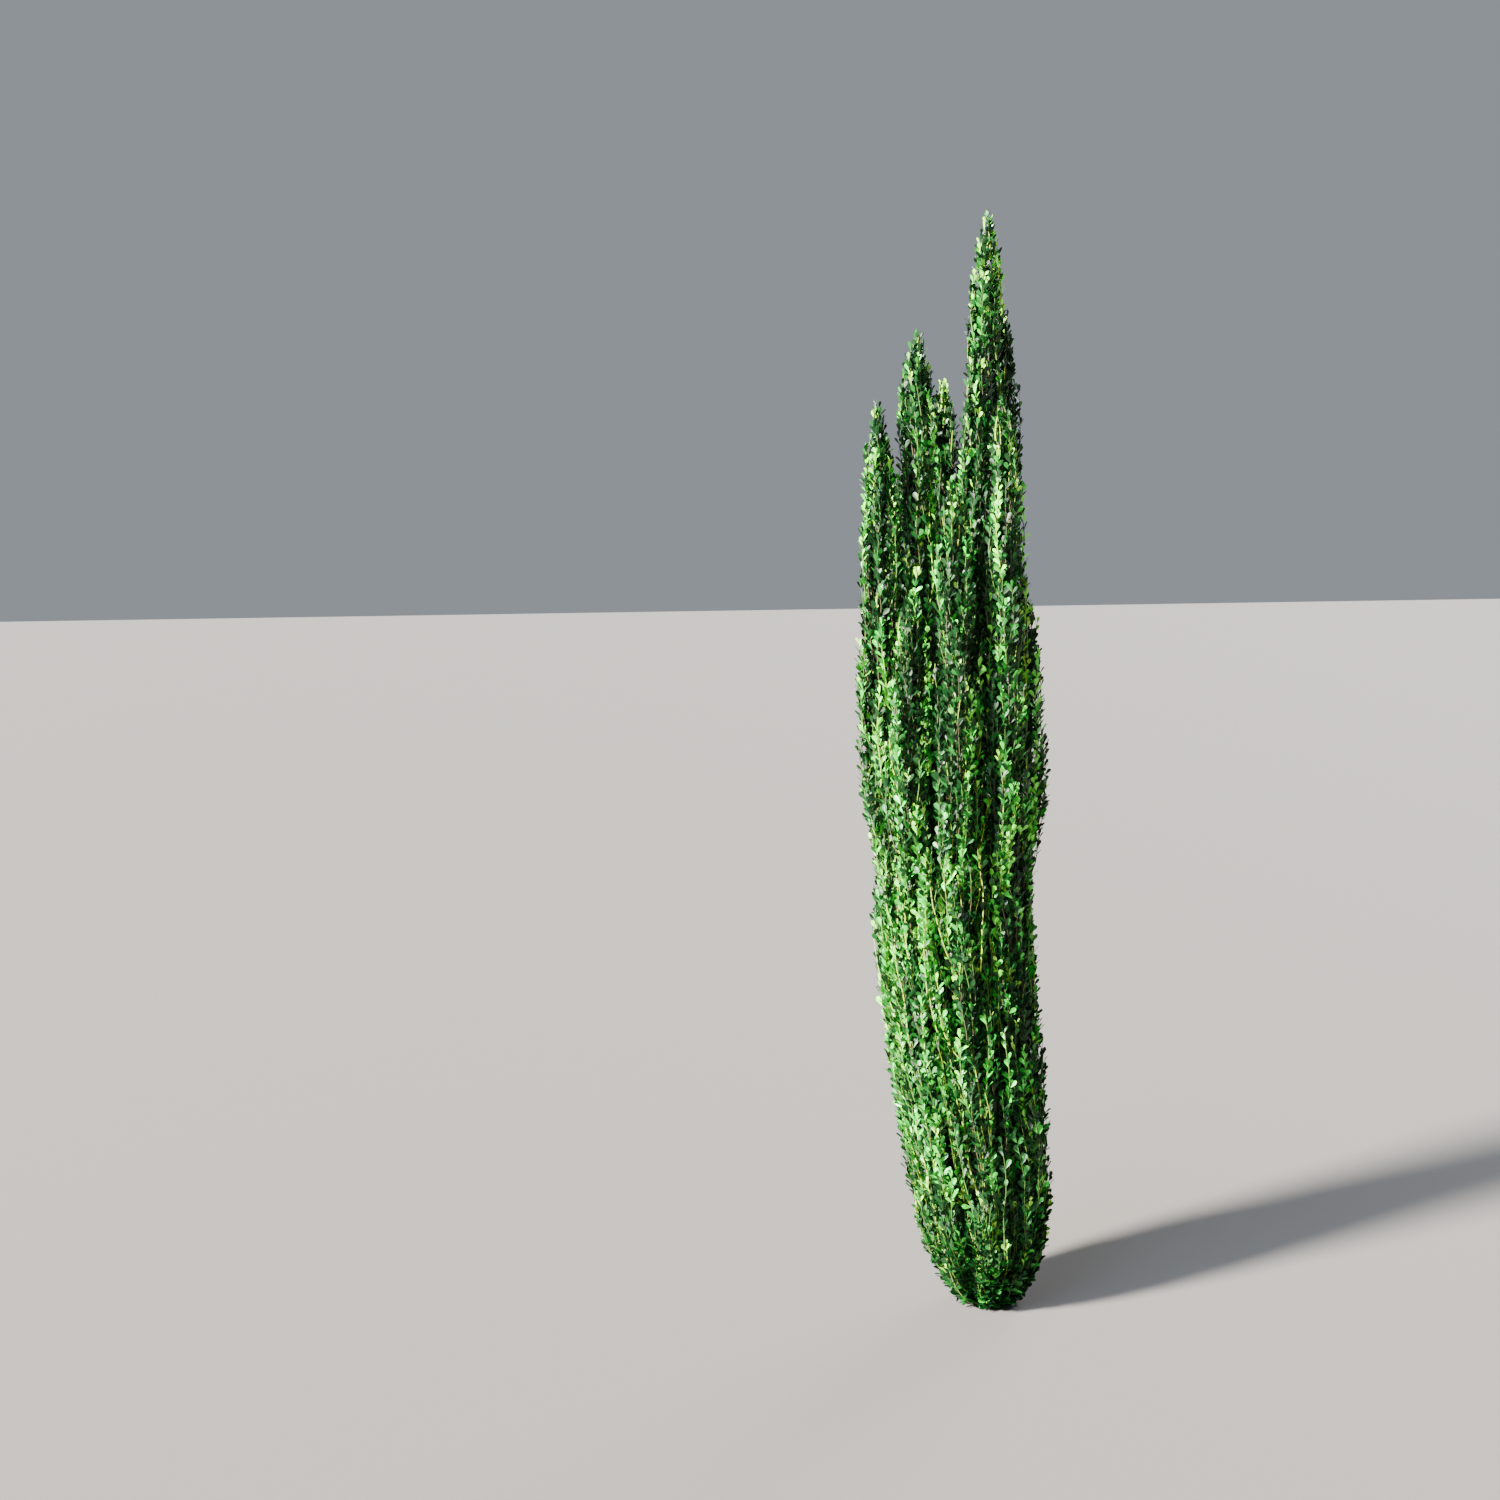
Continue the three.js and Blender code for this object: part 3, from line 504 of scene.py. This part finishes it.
class FootMass:
    """A foot mass: an upright wedge of the ring between the bundle of boughs and the shrub's outline."""

    kind = "foot"

    def __init__(self, index):
        self.name = f"foot_{index + 1}"
        self.angle = -math.pi / 2 + 2 * math.pi * index / FOOT_COUNT
        self.start = FOOT_START
        self.tip = FOOT_TIP + FOOT_TIP_STEP * ((FOOT_TIP_STRIDE * index) % FOOT_COUNT) + FOOT_RUN_ON
        self.seed = FIRST_FOOT_SEED + index

    def inside_at(self, z):
        return np.minimum(bundle_at(z), FOOT_INSIDE)

    def stem_at(self, z):
        radius = (self.inside_at(z) + foot_at(z)) / 2
        return np.stack([middle_at(z) + radius * math.cos(self.angle), radius * math.sin(self.angle), z], -1)

    def to_rim(self, z, turn, narrowed_at=None):
        below_tip = self.tip - (z if narrowed_at is None else narrowed_at)
        narrowing = 1 - np.exp(-np.clip(below_tip, 0, None) / FOOT_TAPER)
        deep = (foot_at(z) - self.inside_at(z)) / 2 * narrowing * np.cos(turn - self.angle)
        half_sector = math.sin(math.pi / FOOT_COUNT) * FOOT_PACKING
        wide = (foot_at(z) + self.inside_at(z)) / 2 * half_sector * narrowing * np.sin(turn - self.angle)
        x = deep * math.cos(self.angle) - wide * math.sin(self.angle)
        y = deep * math.sin(self.angle) + wide * math.cos(self.angle)
        return np.stack([x, y, np.zeros_like(x)], -1)

    def holds(self, points, slack=0):
        """Which points lie in the mass's own space, or no more than some slack outside its rim."""
        z = points[..., 2]
        x = points[..., 0] - middle_at(z)
        y = points[..., 1]
        radius = np.hypot(x, y)
        turn = np.arctan2(y, x)
        to_side = np.abs((turn - self.angle + math.pi) % (2 * math.pi) - math.pi)
        to_border = radius * np.sin(math.pi / FOOT_COUNT - to_side)
        groove = FOOT_GROOVE_DEPTH * groove_at(turn, z, FOOT_GROOVES, 0)
        groove *= 1 - np.exp(-z / FOOT_RISE)
        furthest = foot_at(z) * (1 - groove) + FOOT_SLACK + LOW_SLACK * np.exp(-z / LOW_SLACK_FADE) + slack
        furthest += SUN_SLACK * np.clip(-x / foot_at(z), 0, 1)
        held = (z >= GROUND_CLEARANCE) & (z <= self.tip) & (to_border > -OVERLAP)
        return held & (radius > self.inside_at(z)) & (radius < furthest)


def is_shaded(mass, points):
    """Which points lie within some other mass, where a shoot would be shaded out."""
    shaded = np.zeros(len(points), bool)
    z = points[:, 2]
    for other in masses:
        if other is not mass:
            from_stem = points - other.stem_at(z)
            rim = other.to_rim(z, np.arctan2(from_stem[:, 1], from_stem[:, 0]))
            is_within = np.linalg.norm(from_stem, axis=-1) < np.linalg.norm(rim, axis=-1)
            shaded |= is_within & (z < other.tip) & (z > other.start)
    return shaded


def taken(shoots, which):
    """Some of a set of shoots, or each repeated."""
    return {name: values[which] for name, values in shoots.items()}


def joined(*sets):
    return {name: np.concatenate([shoots[name] for shoots in sets]) for name in sets[0]}


def leaned_out(shoots, share):
    """How far shoots have leaned out by a share of their length, from 0 to nearly 1."""
    return 1 - np.exp(-shoots["length"] * share / shoots["bend"])


def sway_of(shoots, share):
    """How far shoots wander to the sides by a share of their length."""
    phase = shoots["phase"]
    wander = phase + 2 * math.pi * shoots["length"] * share / SWAY_LENGTH
    sway_x = np.sin(wander) - np.sin(phase)
    sway_y = np.cos(wander) - np.cos(phase)
    sideways = SWAY * np.stack([sway_x, sway_y, np.zeros_like(phase)], -1)
    aside = outward_at(ASIDE_PHASES * phase) * (ASIDE * shoots["length"] * share)[:, None]
    leans = shoots["inner"] != shoots["outer"]  # the stem doesn't, and stays where it is
    return (sideways + aside) * leans[:, None]


def place_on(mass, shoots, share):
    """The point at a share of each shoot's length."""
    out = leaned_out(shoots, share)
    z = np.maximum(shoots["z"] + shoots["length"] * share - shoots["dip"] * out, 2 * GROUND_CLEARANCE)
    rim = mass.to_rim(z, shoots["turn"] + shoots["swing"] * out, np.minimum(z, shoots["z"] + STRAIGHTENING))
    leaning = mass.stem_at(z) + rim * lerp(shoots["inner"], shoots["outer"], out)[..., None]
    return leaning + shoots["nudge"] + sway_of(shoots, share)


def furthest_out(mass, shoots):
    """How far out each shoot could rise without leaving the space of its mass."""
    furthest = np.zeros(len(shoots["z"]))
    for outer in OUTS_TRIED:
        tried = shoots | {"outer": np.full(len(furthest), outer)}
        fits = np.ones(len(furthest), bool)
        for share in OUT_TRIED_AT:
            fits &= mass.holds(place_on(mass, tried, np.full(len(furthest), share)))
        furthest = np.where(fits, outer, furthest)
    return furthest


def cut_to_reach(mass, shoots):
    """Shoots ended where they would leave the space of their mass, and the ones too short left out."""
    count = len(shoots["z"])
    inside = np.ones(count, bool)
    length = np.zeros(count)
    for share in REACH_TRIED_AT:
        inside &= mass.holds(place_on(mass, shoots, np.full(count, share)))
        length = np.where(inside, shoots["length"] * share, length)
    return taken(shoots | {"length": length}, length > SHORTEST_SHOOT)


def stem_of(mass):
    """The stem of a mass as a shoot that doesn't lean."""
    length = mass.tip - STEM_END - mass.start
    values = {
        "z": mass.start, "length": length, "turn": 0.0, "swing": 0.0, "inner": 0.0, "outer": 0.0,
        "bend": 1.0, "dip": 0.0, "bare": 1 - STEM_LEAFY_LENGTH / length, "radius": STEM_RADIUS, "phase": 0.0,
    }
    return {name: np.array([value]) for name, value in values.items()} | {"nudge": np.zeros((1, 3))}


def room_above(mass, z, random):
    """How long shoots from some heights may grow, which end at different depths below the tip."""
    return mass.tip - z - lerp(*SHOOT_ENDS[mass.kind], random.uniform(size=len(z)) ** ENDS_BEND)


def past_rim(mass, z, turn):
    """The points a little past the rim of a mass, at some heights and angles."""
    return mass.stem_at(z) + mass.to_rim(z, turn) + SHOOT_CLEARANCE * outward_at(turn)


def main_shoots(mass, random):
    """The main shoots of a mass, each turned on from the one below by the golden angle."""
    z = np.arange(mass.start + FIRST_SHOOT, mass.tip - LAST_SHOOT, SHOOT_SPACING[mass.kind])
    count = len(z)
    turn = random.uniform(0, 2 * math.pi) + GOLDEN_ANGLE * np.arange(count)
    if mass.kind == "foot":
        turn -= OUTWARD_PULL * np.sin(turn - mass.angle)
    length = np.minimum(random.uniform(*SHOOT_LENGTHS, count), room_above(mass, z, random))
    is_inner = random.uniform(size=count) < INNER_SHARE
    out_share = np.where(is_inner, random.uniform(*INNER_OUT, count), random.uniform(*OUTER_OUT, count))
    half_way = z + length / 2
    for _ in range(TURNS_TRIED):
        turn = np.where(is_shaded(mass, past_rim(mass, half_way, turn)), turn + GOLDEN_ANGLE, turn)
    is_lit = ~is_shaded(mass, past_rim(mass, half_way, turn))
    shoots = {
        "z": z,
        "length": length,
        "turn": turn,
        "swing": random.uniform(-SHOOT_SWING, SHOOT_SWING, count),
        "inner": np.zeros(count),
        "outer": np.zeros(count),
        "bend": np.full(count, SHOOT_BEND),
        "dip": np.zeros(count),
        "bare": np.full(count, SHOOT_BARE),
        "radius": np.full(count, SHOOT_RADIUS),
        "phase": random.uniform(0, 2 * math.pi, count),
        "nudge": np.zeros((count, 3)),
    }
    shoots["outer"] = out_share * furthest_out(mass, shoots)
    narrowing = 1 - np.exp(-(mass.tip - z) / TIP_TAPER)
    is_kept = random.uniform(size=count) < lerp(KEPT_AT_TIP, 1, narrowing)
    return cut_to_reach(mass, taken(shoots, is_kept & is_lit & (length > SHORTEST_SHOOT)))


def low_shoots(mass, random):
    """Shoots round the bottom of a foot mass, which lean out over the ground before they rise."""
    count = LOW_SHOOTS
    shoots = {
        "z": mass.start + random.uniform(0, LOW_SHOOT_ROOTS, count),
        "length": random.uniform(*LOW_SHOOT_LENGTHS, count),
        "turn": mass.angle + random.uniform(-LOW_SHOOT_FAN, LOW_SHOOT_FAN, count),
        "swing": random.uniform(-LOW_SHOOT_SWING, LOW_SHOOT_SWING, count),
        "inner": np.zeros(count),
        "outer": np.zeros(count),
        "bend": np.full(count, LOW_SHOOT_BEND),
        "dip": random.uniform(*LOW_SHOOT_DIP, count),
        "bare": np.full(count, LOW_SHOOT_BARE),
        "radius": np.full(count, SIDE_RADIUS),
        "phase": random.uniform(0, 2 * math.pi, count),
        "nudge": np.zeros((count, 3)),
    }
    shoots["outer"] = random.uniform(*LOW_SHOOT_OUT, count) * furthest_out(mass, shoots)
    return cut_to_reach(mass, shoots)


def side_shoots(mass, mains, random):
    """Finer shoots that fork from the main ones to either side and rise beside them."""
    count = random.poisson(SIDE_SHOOTS, len(mains["z"]))
    mains = taken(mains, np.repeat(np.arange(len(count)), count))
    count = len(mains["z"])
    share = random.uniform(*SIDE_FORKS, count)
    out = leaned_out(mains, share)
    z = mains["z"] + mains["length"] * share - mains["dip"] * out
    turn = mains["turn"] + mains["swing"] * out
    inner = lerp(mains["inner"], mains["outer"], out)
    rim = np.linalg.norm(mass.to_rim(z, turn), axis=-1)
    side = random.choice((-1, 1), count)
    shoots = {
        "z": z,
        "length": np.minimum(random.uniform(*SIDE_LENGTHS, count), room_above(mass, z, random)),
        "turn": turn,
        "swing": side * random.uniform(*SIDE_SWING, count) / np.maximum(rim, NARROWEST_SWING),
        "inner": inner,
        "outer": np.clip(inner + random.uniform(*SIDE_OUT, count), *SIDE_OUT_LIMITS),
        "bend": np.full(count, SIDE_BEND),
        "dip": np.zeros(count),
        "bare": np.full(count, SIDE_BARE),
        "radius": np.full(count, SIDE_RADIUS),
        "phase": random.uniform(0, 2 * math.pi, count),
        "nudge": mains["nudge"] + sway_of(mains, share),
    }
    return cut_to_reach(mass, taken(shoots, shoots["length"] > SHORTEST_SHOOT))


def unit(vectors):
    return vectors / np.maximum(np.linalg.norm(vectors, axis=-1, keepdims=True), TINY)


def wood_of(mass, shoots, stations, sides, brown_share, green):
    """Tubes along shoots, as (corners, triangles, each triangle's wood): old wood up to a brown share."""
    count = len(shoots["z"])
    share = np.tile(np.linspace(0, 1, stations), count)
    shoots = taken(shoots, np.repeat(np.arange(count), stations))
    middle = place_on(mass, shoots, share)
    along = unit(place_on(mass, shoots, share + LOOK_AHEAD) - middle)
    across = unit(np.cross(along, outward_at(shoots["turn"])))
    deep = np.cross(along, across)
    radius = lerp(shoots["radius"], SHOOT_TIP_RADIUS, share)
    turns = np.arange(sides) * 2 * math.pi / sides
    round_it = across[:, None] * np.cos(turns)[:, None] + deep[:, None] * np.sin(turns)[:, None]
    corners = middle[:, None] + round_it * radius[:, None, None]
    tube = grid_triangles(stations, sides)
    triangles = tube[None] + np.arange(count)[:, None, None] * stations * sides
    is_green = tube.min(1) // sides / (stations - 1) >= brown_share[:, None]
    return corners.reshape(-1, 3), triangles.reshape(-1, 3), np.where(is_green, green[:, None], OLD).ravel()


def shoot_bark(name, colour):
    """Smooth young bark with a faint grain, a little silky."""
    material = bare_material(name)
    place = add_node(material, "ShaderNodeTexCoord", {}).outputs["Object"]
    grain = add_node(material, "ShaderNodeTexNoise", {"Vector": place, "Scale": 1 / WOOD_GRAIN})
    bump = add_node(
        material, "ShaderNodeBump", {"Height": grain.outputs["Fac"], "Distance": WOOD_GRAIN_DEPTH}
    )
    shader = add_node(
        material, "ShaderNodeBsdfPrincipled",
        {
            "Base Color": linear(colour),
            "Roughness": WOOD_ROUGHNESS,
            "IOR": WOOD_IOR,
            "Normal": bump.outputs["Normal"],
        },
    )
    add_node(material, "ShaderNodeOutputMaterial", {"Surface": shader.outputs["BSDF"]})
    return material


feet = [FootMass(index) for index in range(FOOT_COUNT)]
masses = columns + feet
old_wood = shoot_bark("old_shoot_brown", OLD_WOOD)
young_wood = shoot_bark("young_shoot_green", YOUNG_WOOD)
fine_wood = shoot_bark("fine_shoot_green", FINE_WOOD)
shoots_of = {}
for mass in masses:
    random = np.random.default_rng(mass.seed)
    stem = stem_of(mass)
    mains = main_shoots(mass, random)
    if mass.kind == "foot":
        mains = joined(mains, low_shoots(mass, random))
    sides = side_shoots(mass, mains, random)
    shoots_of[mass.name] = joined(stem, mains, sides)
    # shoots in the shade are brown further up, partly old wood and partly painted shade
    brown = np.where(mains["outer"] > IN_SUN, OLD_WOOD_AND_SHADE_SHARES["in the sun"], OLD_WOOD_AND_SHADE_SHARES["in the shade"])
    green = np.where(random.uniform(size=len(brown)) < BRIGHT_SHARE, YOUNG, FINE)
    no_brown = np.zeros(len(sides["z"]))
    all_fine = np.full(len(sides["z"]), FINE)
    parts = [
        wood_of(mass, stem, STEM_STATIONS, STEM_SIDES, stem["bare"], np.array([FINE])),
        wood_of(mass, mains, SHOOT_STATIONS, SHOOT_SIDES, brown, green),
        wood_of(mass, sides, SIDE_STATIONS, SHOOT_SIDES, no_brown, all_fine),
    ]
    firsts = np.cumsum([0] + [len(corners) for corners, _, _ in parts[:-1]])
    shoots = mesh_piece(
        f"shoots_{mass.name}",
        np.concatenate([corners for corners, _, _ in parts]),
        np.concatenate([triangles + first for (_, triangles, _), first in zip(parts, firsts)]),
        [old_wood, young_wood, fine_wood],
        np.concatenate([finish for _, _, finish in parts]),
    )
    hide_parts(f"foliage_{mass.name}")

# The leaves are small, leathery and widest past their middle, and stand round the shoots by the golden angle.
# They are green and glossy, and paler on new growth. Leaves inside a mass get the darkest green as painted
# shade and leaves further out paler greens as painted light, and they are darker towards the ground. Each
# grows on a shoot by its root, and is a blade of eight faces with its sides raised and its tip bent down a
# little.
LEAF_SPACING = 0.0086  # along a shoot, at the ground
LEAF_LENGTHS = (0.019, 0.028)  # at the ground
HIGH_LEAF_SIZE = 0.84  # at the top leaves are this much of that length, and stand that much closer together
LEAF_WIDTH_SHARE = 0.45
LEAF_SPREADS = (math.radians(20), math.radians(46))  # from the shoot's direction
TIP_LEAVES = 3  # of a shoot's last leaves, which are smaller and stand closer to it
TIP_LEAF_SIZE = 0.72
TIP_LEAF_SPREAD = 0.45
TWIST_SHARE = 0.5  # how far leaves turn their faces out to the light, from 0 to 1
LEAF_WOBBLE = 0.42  # how far they stray from that, in radians
LEAF_SCATTER = 0.3  # how far a leaf strays from its place, in spacings, and from its turn, in radians
FIRST_LEAF = 0.7  # spacings from the end of the bare stretch to the first leaf
LEAF_SLACK = 0.007  # leaves stand at most this far past the outermost shoots
LEAF_LOOK_AHEAD = 0.01  # the shoot's direction at a leaf is taken towards the point this share further on
NO_TURN = 1e-9  # keeps a leaf that faces neither in nor out from being turned by a division by nothing
# each point across in half widths, along in lengths and up from the blade in lengths, the rib's middle first
LEAF_OUTLINE = (
    (0, 0.62, -0.02), (0, 0, 0), (0.55, 0.36, 0.02), (1, 0.70, 0.02), (0.66, 0.93, -0.02),
    (0, 1, -0.06), (-0.66, 0.93, -0.02), (-1, 0.70, 0.02), (-0.55, 0.36, 0.02),
)
LEAF_WIDEST = (3, 7)  # the points where it is widest
EDGE_POINTS = len(LEAF_OUTLINE) - 1
LEAF_FACES = [(0, k, k % EDGE_POINTS + 1) for k in range(1, EDGE_POINTS + 1)]
# each green, the share of the outermost shoots that bear it, and how much of the waxy gloss shows on it
LEAF_GREENS = {
    # the darkest green is also the painted shade on leaves inside a mass
    "leaf_deep_green_and_painted_shade": ("#083010", 0.27, 0.2),
    "leaf_dark_green": ("#12601c", 0.25, 0.55),
    "leaf_mid_green": ("#2eb42c", 0.24, 0.8),
    "leaf_fresh_green": ("#6ee03c", 0.24, 0.8),
}
PAINTED_SHADE_TO_SUN = (0.5, 0.9)  # how far out shoots stop bearing only the darkest green, which is painted shade, and bear all of them, the paler ones as painted light
GROUND_DARKENING = 0.75  # share of the way back to the darkest green at the ground
GROUND_DARKENING_HEIGHT = 0.35  # height over which that fades
SPRAY_LEAVES = 3  # that share a green
SPRAY_VARIATION = 0.20  # how far a spray strays from its shoot's green, in shares of the range
NEW_GROWTH = ("leaf_new_growth", "#8cd03c", 0.5)
NEW_GROWTH_CHANCE = 0.15  # that a shoot's last leaves are of it
LEAF_ROUGHNESS = 0.5
LEAF_IOR = 1.45
LEAF_FLESH_GLOSS = 0.2  # low, because the waxy skin over it carries the gloss
LEAF_GLOSS_ROUGHNESS = 0.40
LEAF_PUCKER = 0.004  # the waviness of a blade, from one hump to the next
LEAF_PUCKER_DEPTH = 0.0008
LEAF_PUCKER_STRENGTH = 0.3
FIRST_LEAF_SEED = 1000


def glossy_leaf(name, colour, gloss):
    """Leathery leaf with a waxy skin: a plain green under a soft clear gloss, faintly puckered."""
    material = bare_material(name)
    place = add_node(material, "ShaderNodeTexCoord", {}).outputs["Object"]
    pucker = add_node(material, "ShaderNodeTexNoise", {"Vector": place, "Scale": 1 / LEAF_PUCKER})
    bump = add_node(
        material, "ShaderNodeBump",
        {"Height": pucker.outputs["Fac"], "Distance": LEAF_PUCKER_DEPTH, "Strength": LEAF_PUCKER_STRENGTH},
    )
    shader = add_node(
        material, "ShaderNodeBsdfPrincipled",
        {
            "Base Color": linear(colour),
            "Roughness": LEAF_ROUGHNESS,
            "IOR": LEAF_IOR,
            "Specular IOR Level": LEAF_FLESH_GLOSS,
            "Coat Weight": gloss,
            "Coat Roughness": LEAF_GLOSS_ROUGHNESS,
            "Normal": bump.outputs["Normal"],
        },
    )
    add_node(material, "ShaderNodeOutputMaterial", {"Surface": shader.outputs["BSDF"]})
    return material


def leaf_greens(shoots, count, which, place, random):
    """Each leaf's place among the leaf materials. A spray shares one; in the sun they are paler, as painted
    light, and in the shade the darkest, as painted shade.
    """
    # painted light and shade: shoots far out bear all the greens, shoots inside only the darkest
    in_sun = np.interp(shoots["outer"], PAINTED_SHADE_TO_SUN, (0, 1))
    # the leaves grow darker towards the ground
    in_sun *= 1 - GROUND_DARKENING * np.exp(-shoots["z"] / GROUND_DARKENING_HEIGHT)
    in_sun[0] = 1  # the first is the stem, whose leaves stand at the tip of the mass
    shade = random.uniform(size=len(count)) * in_sun
    has_new_growth = random.uniform(size=len(count)) < NEW_GROWTH_CHANCE
    has_new_growth[0] = False
    is_new = has_new_growth[which] & (count[which] - 1 - place < TIP_LEAVES)
    sprays = -(-count // SPRAY_LEAVES)
    spray = (np.cumsum(sprays) - sprays)[which] + place // SPRAY_LEAVES
    shade = shade[which] + random.normal(0, SPRAY_VARIATION, sprays.sum())[spray]
    shares = np.cumsum([share for _, share, _ in LEAF_GREENS.values()])
    return np.where(is_new, len(LEAF_GREENS), np.searchsorted(shares[:-1], shade))


def blade_corners(root, along, side, face, length):
    """The corners of blades that grow from their roots, lie along a direction, and face another."""
    outline = np.array(LEAF_OUTLINE)
    half_width = length * LEAF_WIDTH_SHARE / 2
    corners = root[:, None] + side[:, None] * (outline[:, 0] * half_width[:, None])[..., None]
    corners += along[:, None] * (outline[:, 1] * length[:, None])[..., None]
    corners += face[:, None] * (outline[:, 2] * length[:, None])[..., None]
    return corners


def leaf_blades(mass, shoots, random):
    """The leaves of a mass, as (corners, triangles, each triangle's colour)."""
    spacing = LEAF_SPACING * lerp(1, HIGH_LEAF_SIZE, shoots["z"] / cad_box[1][2])
    count = np.maximum(1, np.round(shoots["length"] * (1 - shoots["bare"]) / spacing)).astype(int)
    which = np.repeat(np.arange(len(count)), count)
    place = np.arange(len(which)) - np.repeat(np.cumsum(count) - count, count)
    from_tip = count[which] - 1 - place
    green = leaf_greens(shoots, count, which, place, random)
    phase = random.uniform(0, 2 * math.pi, len(count))[which]
    bearing = taken(shoots, which)
    strayed = random.normal(0, LEAF_SCATTER, (2, len(which)))
    share = np.clip(lerp(bearing["bare"], 1, (place + FIRST_LEAF + strayed[0]) / count[which]), 0, 1)
    root = place_on(mass, bearing, share)
    up = unit(place_on(mass, bearing, share + LEAF_LOOK_AHEAD) - root)
    out = outward_at(bearing["turn"])
    out = unit(out - up * (out * up).sum(-1, keepdims=True))
    beside = np.cross(up, out)
    turn = (phase + place * GOLDEN_ANGLE + strayed[1])[:, None]
    spread_way = out * np.cos(turn) + beside * np.sin(turn)
    youth = np.clip(1 - from_tip / TIP_LEAVES, 0, 1)
    spread = random.uniform(*LEAF_SPREADS, len(which)) * lerp(1, TIP_LEAF_SPREAD, youth)
    along = up * np.cos(spread)[:, None] + spread_way * np.sin(spread)[:, None]
    natural = up * np.sin(spread)[:, None] - spread_way * np.cos(spread)[:, None]
    across = np.cross(along, natural)
    to_light = np.arctan((across * out).sum(-1) / ((natural * out).sum(-1) + NO_TURN))
    twist = (TWIST_SHARE * to_light + random.normal(0, LEAF_WOBBLE, len(which)))[:, None]
    face = natural * np.cos(twist) + across * np.sin(twist)
    side = np.cross(along, face)
    length = random.uniform(*LEAF_LENGTHS, len(which)) * lerp(1, TIP_LEAF_SIZE, youth)
    length *= lerp(1, HIGH_LEAF_SIZE, root[:, 2] / cad_box[1][2])
    half_way = root + along * length[:, None] / 2
    kept = mass.holds(half_way, LEAF_SLACK) & mass.holds(2 * half_way - root, LEAF_SLACK)
    corners = blade_corners(root, along, side, face, length)
    for widest in LEAF_WIDEST:
        kept &= mass.holds(corners[:, widest], LEAF_SLACK)
    kept &= corners[..., 2].min(1) > GROUND_CLEARANCE / 2
    corners, green = corners[kept], green[kept]
    triangles = np.array(LEAF_FACES)[None] + len(LEAF_OUTLINE) * np.arange(len(corners))[:, None, None]
    return corners.reshape(-1, 3), triangles.reshape(-1, 3), np.repeat(green, len(LEAF_FACES))


leaf_materials = [glossy_leaf(name, colour, gloss) for name, (colour, _, gloss) in LEAF_GREENS.items()]
leaf_materials.append(glossy_leaf(*NEW_GROWTH))
for mass in masses:
    random = np.random.default_rng(FIRST_LEAF_SEED + mass.seed)
    corners, triangles, greens = leaf_blades(mass, shoots_of[mass.name], random)
    leaves = mesh_piece(f"leaves_{mass.name}", corners, triangles, leaf_materials, greens)
    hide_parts(f"foliage_{mass.name}")

# The floor is a plain pale studio floor, level with the ground that the shrub grows from. It is painted matt,
# so that nothing is mirrored in it, and reaches so far that its edge lies near the horizon.
FLOOR_HALF_WIDTH = 40.0
FLOOR_COLOUR = "#5f5d5b"  # a middle grey, which the strong light makes pale
FLOOR_ROUGHNESS = 0.9

floor_mesh = bpy.data.meshes.new("floor")
floor_sides = [(-1, -1), (1, -1), (1, 1), (-1, 1)]
floor_corners = [(x * FLOOR_HALF_WIDTH, y * FLOOR_HALF_WIDTH, 0) for x, y in floor_sides]
floor_mesh.from_pydata(floor_corners, [], [(0, 1, 2, 3)])
floor = bpy.data.objects.new("floor", floor_mesh)
scene.collection.objects.link(floor)
matt_paint = bare_material("matt_pale_floor")
matt_shader = add_node(
    matt_paint, "ShaderNodeBsdfPrincipled", {"Base Color": linear(FLOOR_COLOUR), "Roughness": FLOOR_ROUGHNESS}
)
add_node(matt_paint, "ShaderNodeOutputMaterial", {"Surface": matt_shader.outputs["BSDF"]})
floor_mesh.materials.append(matt_paint)

# The light is soft studio light. The key lamp stands to the left and a little in front, where the picture's
# light comes from. A broad cool lamp above it gives the leaves their bluish gloss, a broad one behind on the
# right lifts the far side and the back, and a pale sky fills in all round.
SKY = "#dfe8f2"
SKY_STRENGTH = 0.38
# where each lamp's light comes from, its width in radians, its strength in watts per square metre, its colour
LAMPS = {
    "key": ((-0.88, -0.46, 0.58), 0.14, 43.0, "#fff8ec"),
    "upper": ((-0.60, -0.60, 0.85), 0.6, 3.0, "#c6dcff"),
    "rim": ((0.7, 1.0, 0.7), 0.5, 3.4, "#ffffff"),
}

for name, (way, width, strength, colour) in LAMPS.items():
    lamp = bpy.data.lights.new(name, "SUN")
    lamp.angle = width
    lamp.energy = strength
    lamp.color = linear(colour)[:3]
    lamp_object = bpy.data.objects.new(name, lamp)
    scene.collection.objects.link(lamp_object)
    lamp_object.rotation_euler = Vector(way).to_track_quat("Z", "Y").to_euler()
world = bpy.data.worlds.new("sky")
scene.world = world
world.use_nodes = True
background = world.node_tree.nodes["Background"]
background.inputs["Color"].default_value = linear(SKY)
background.inputs["Strength"].default_value = SKY_STRENGTH
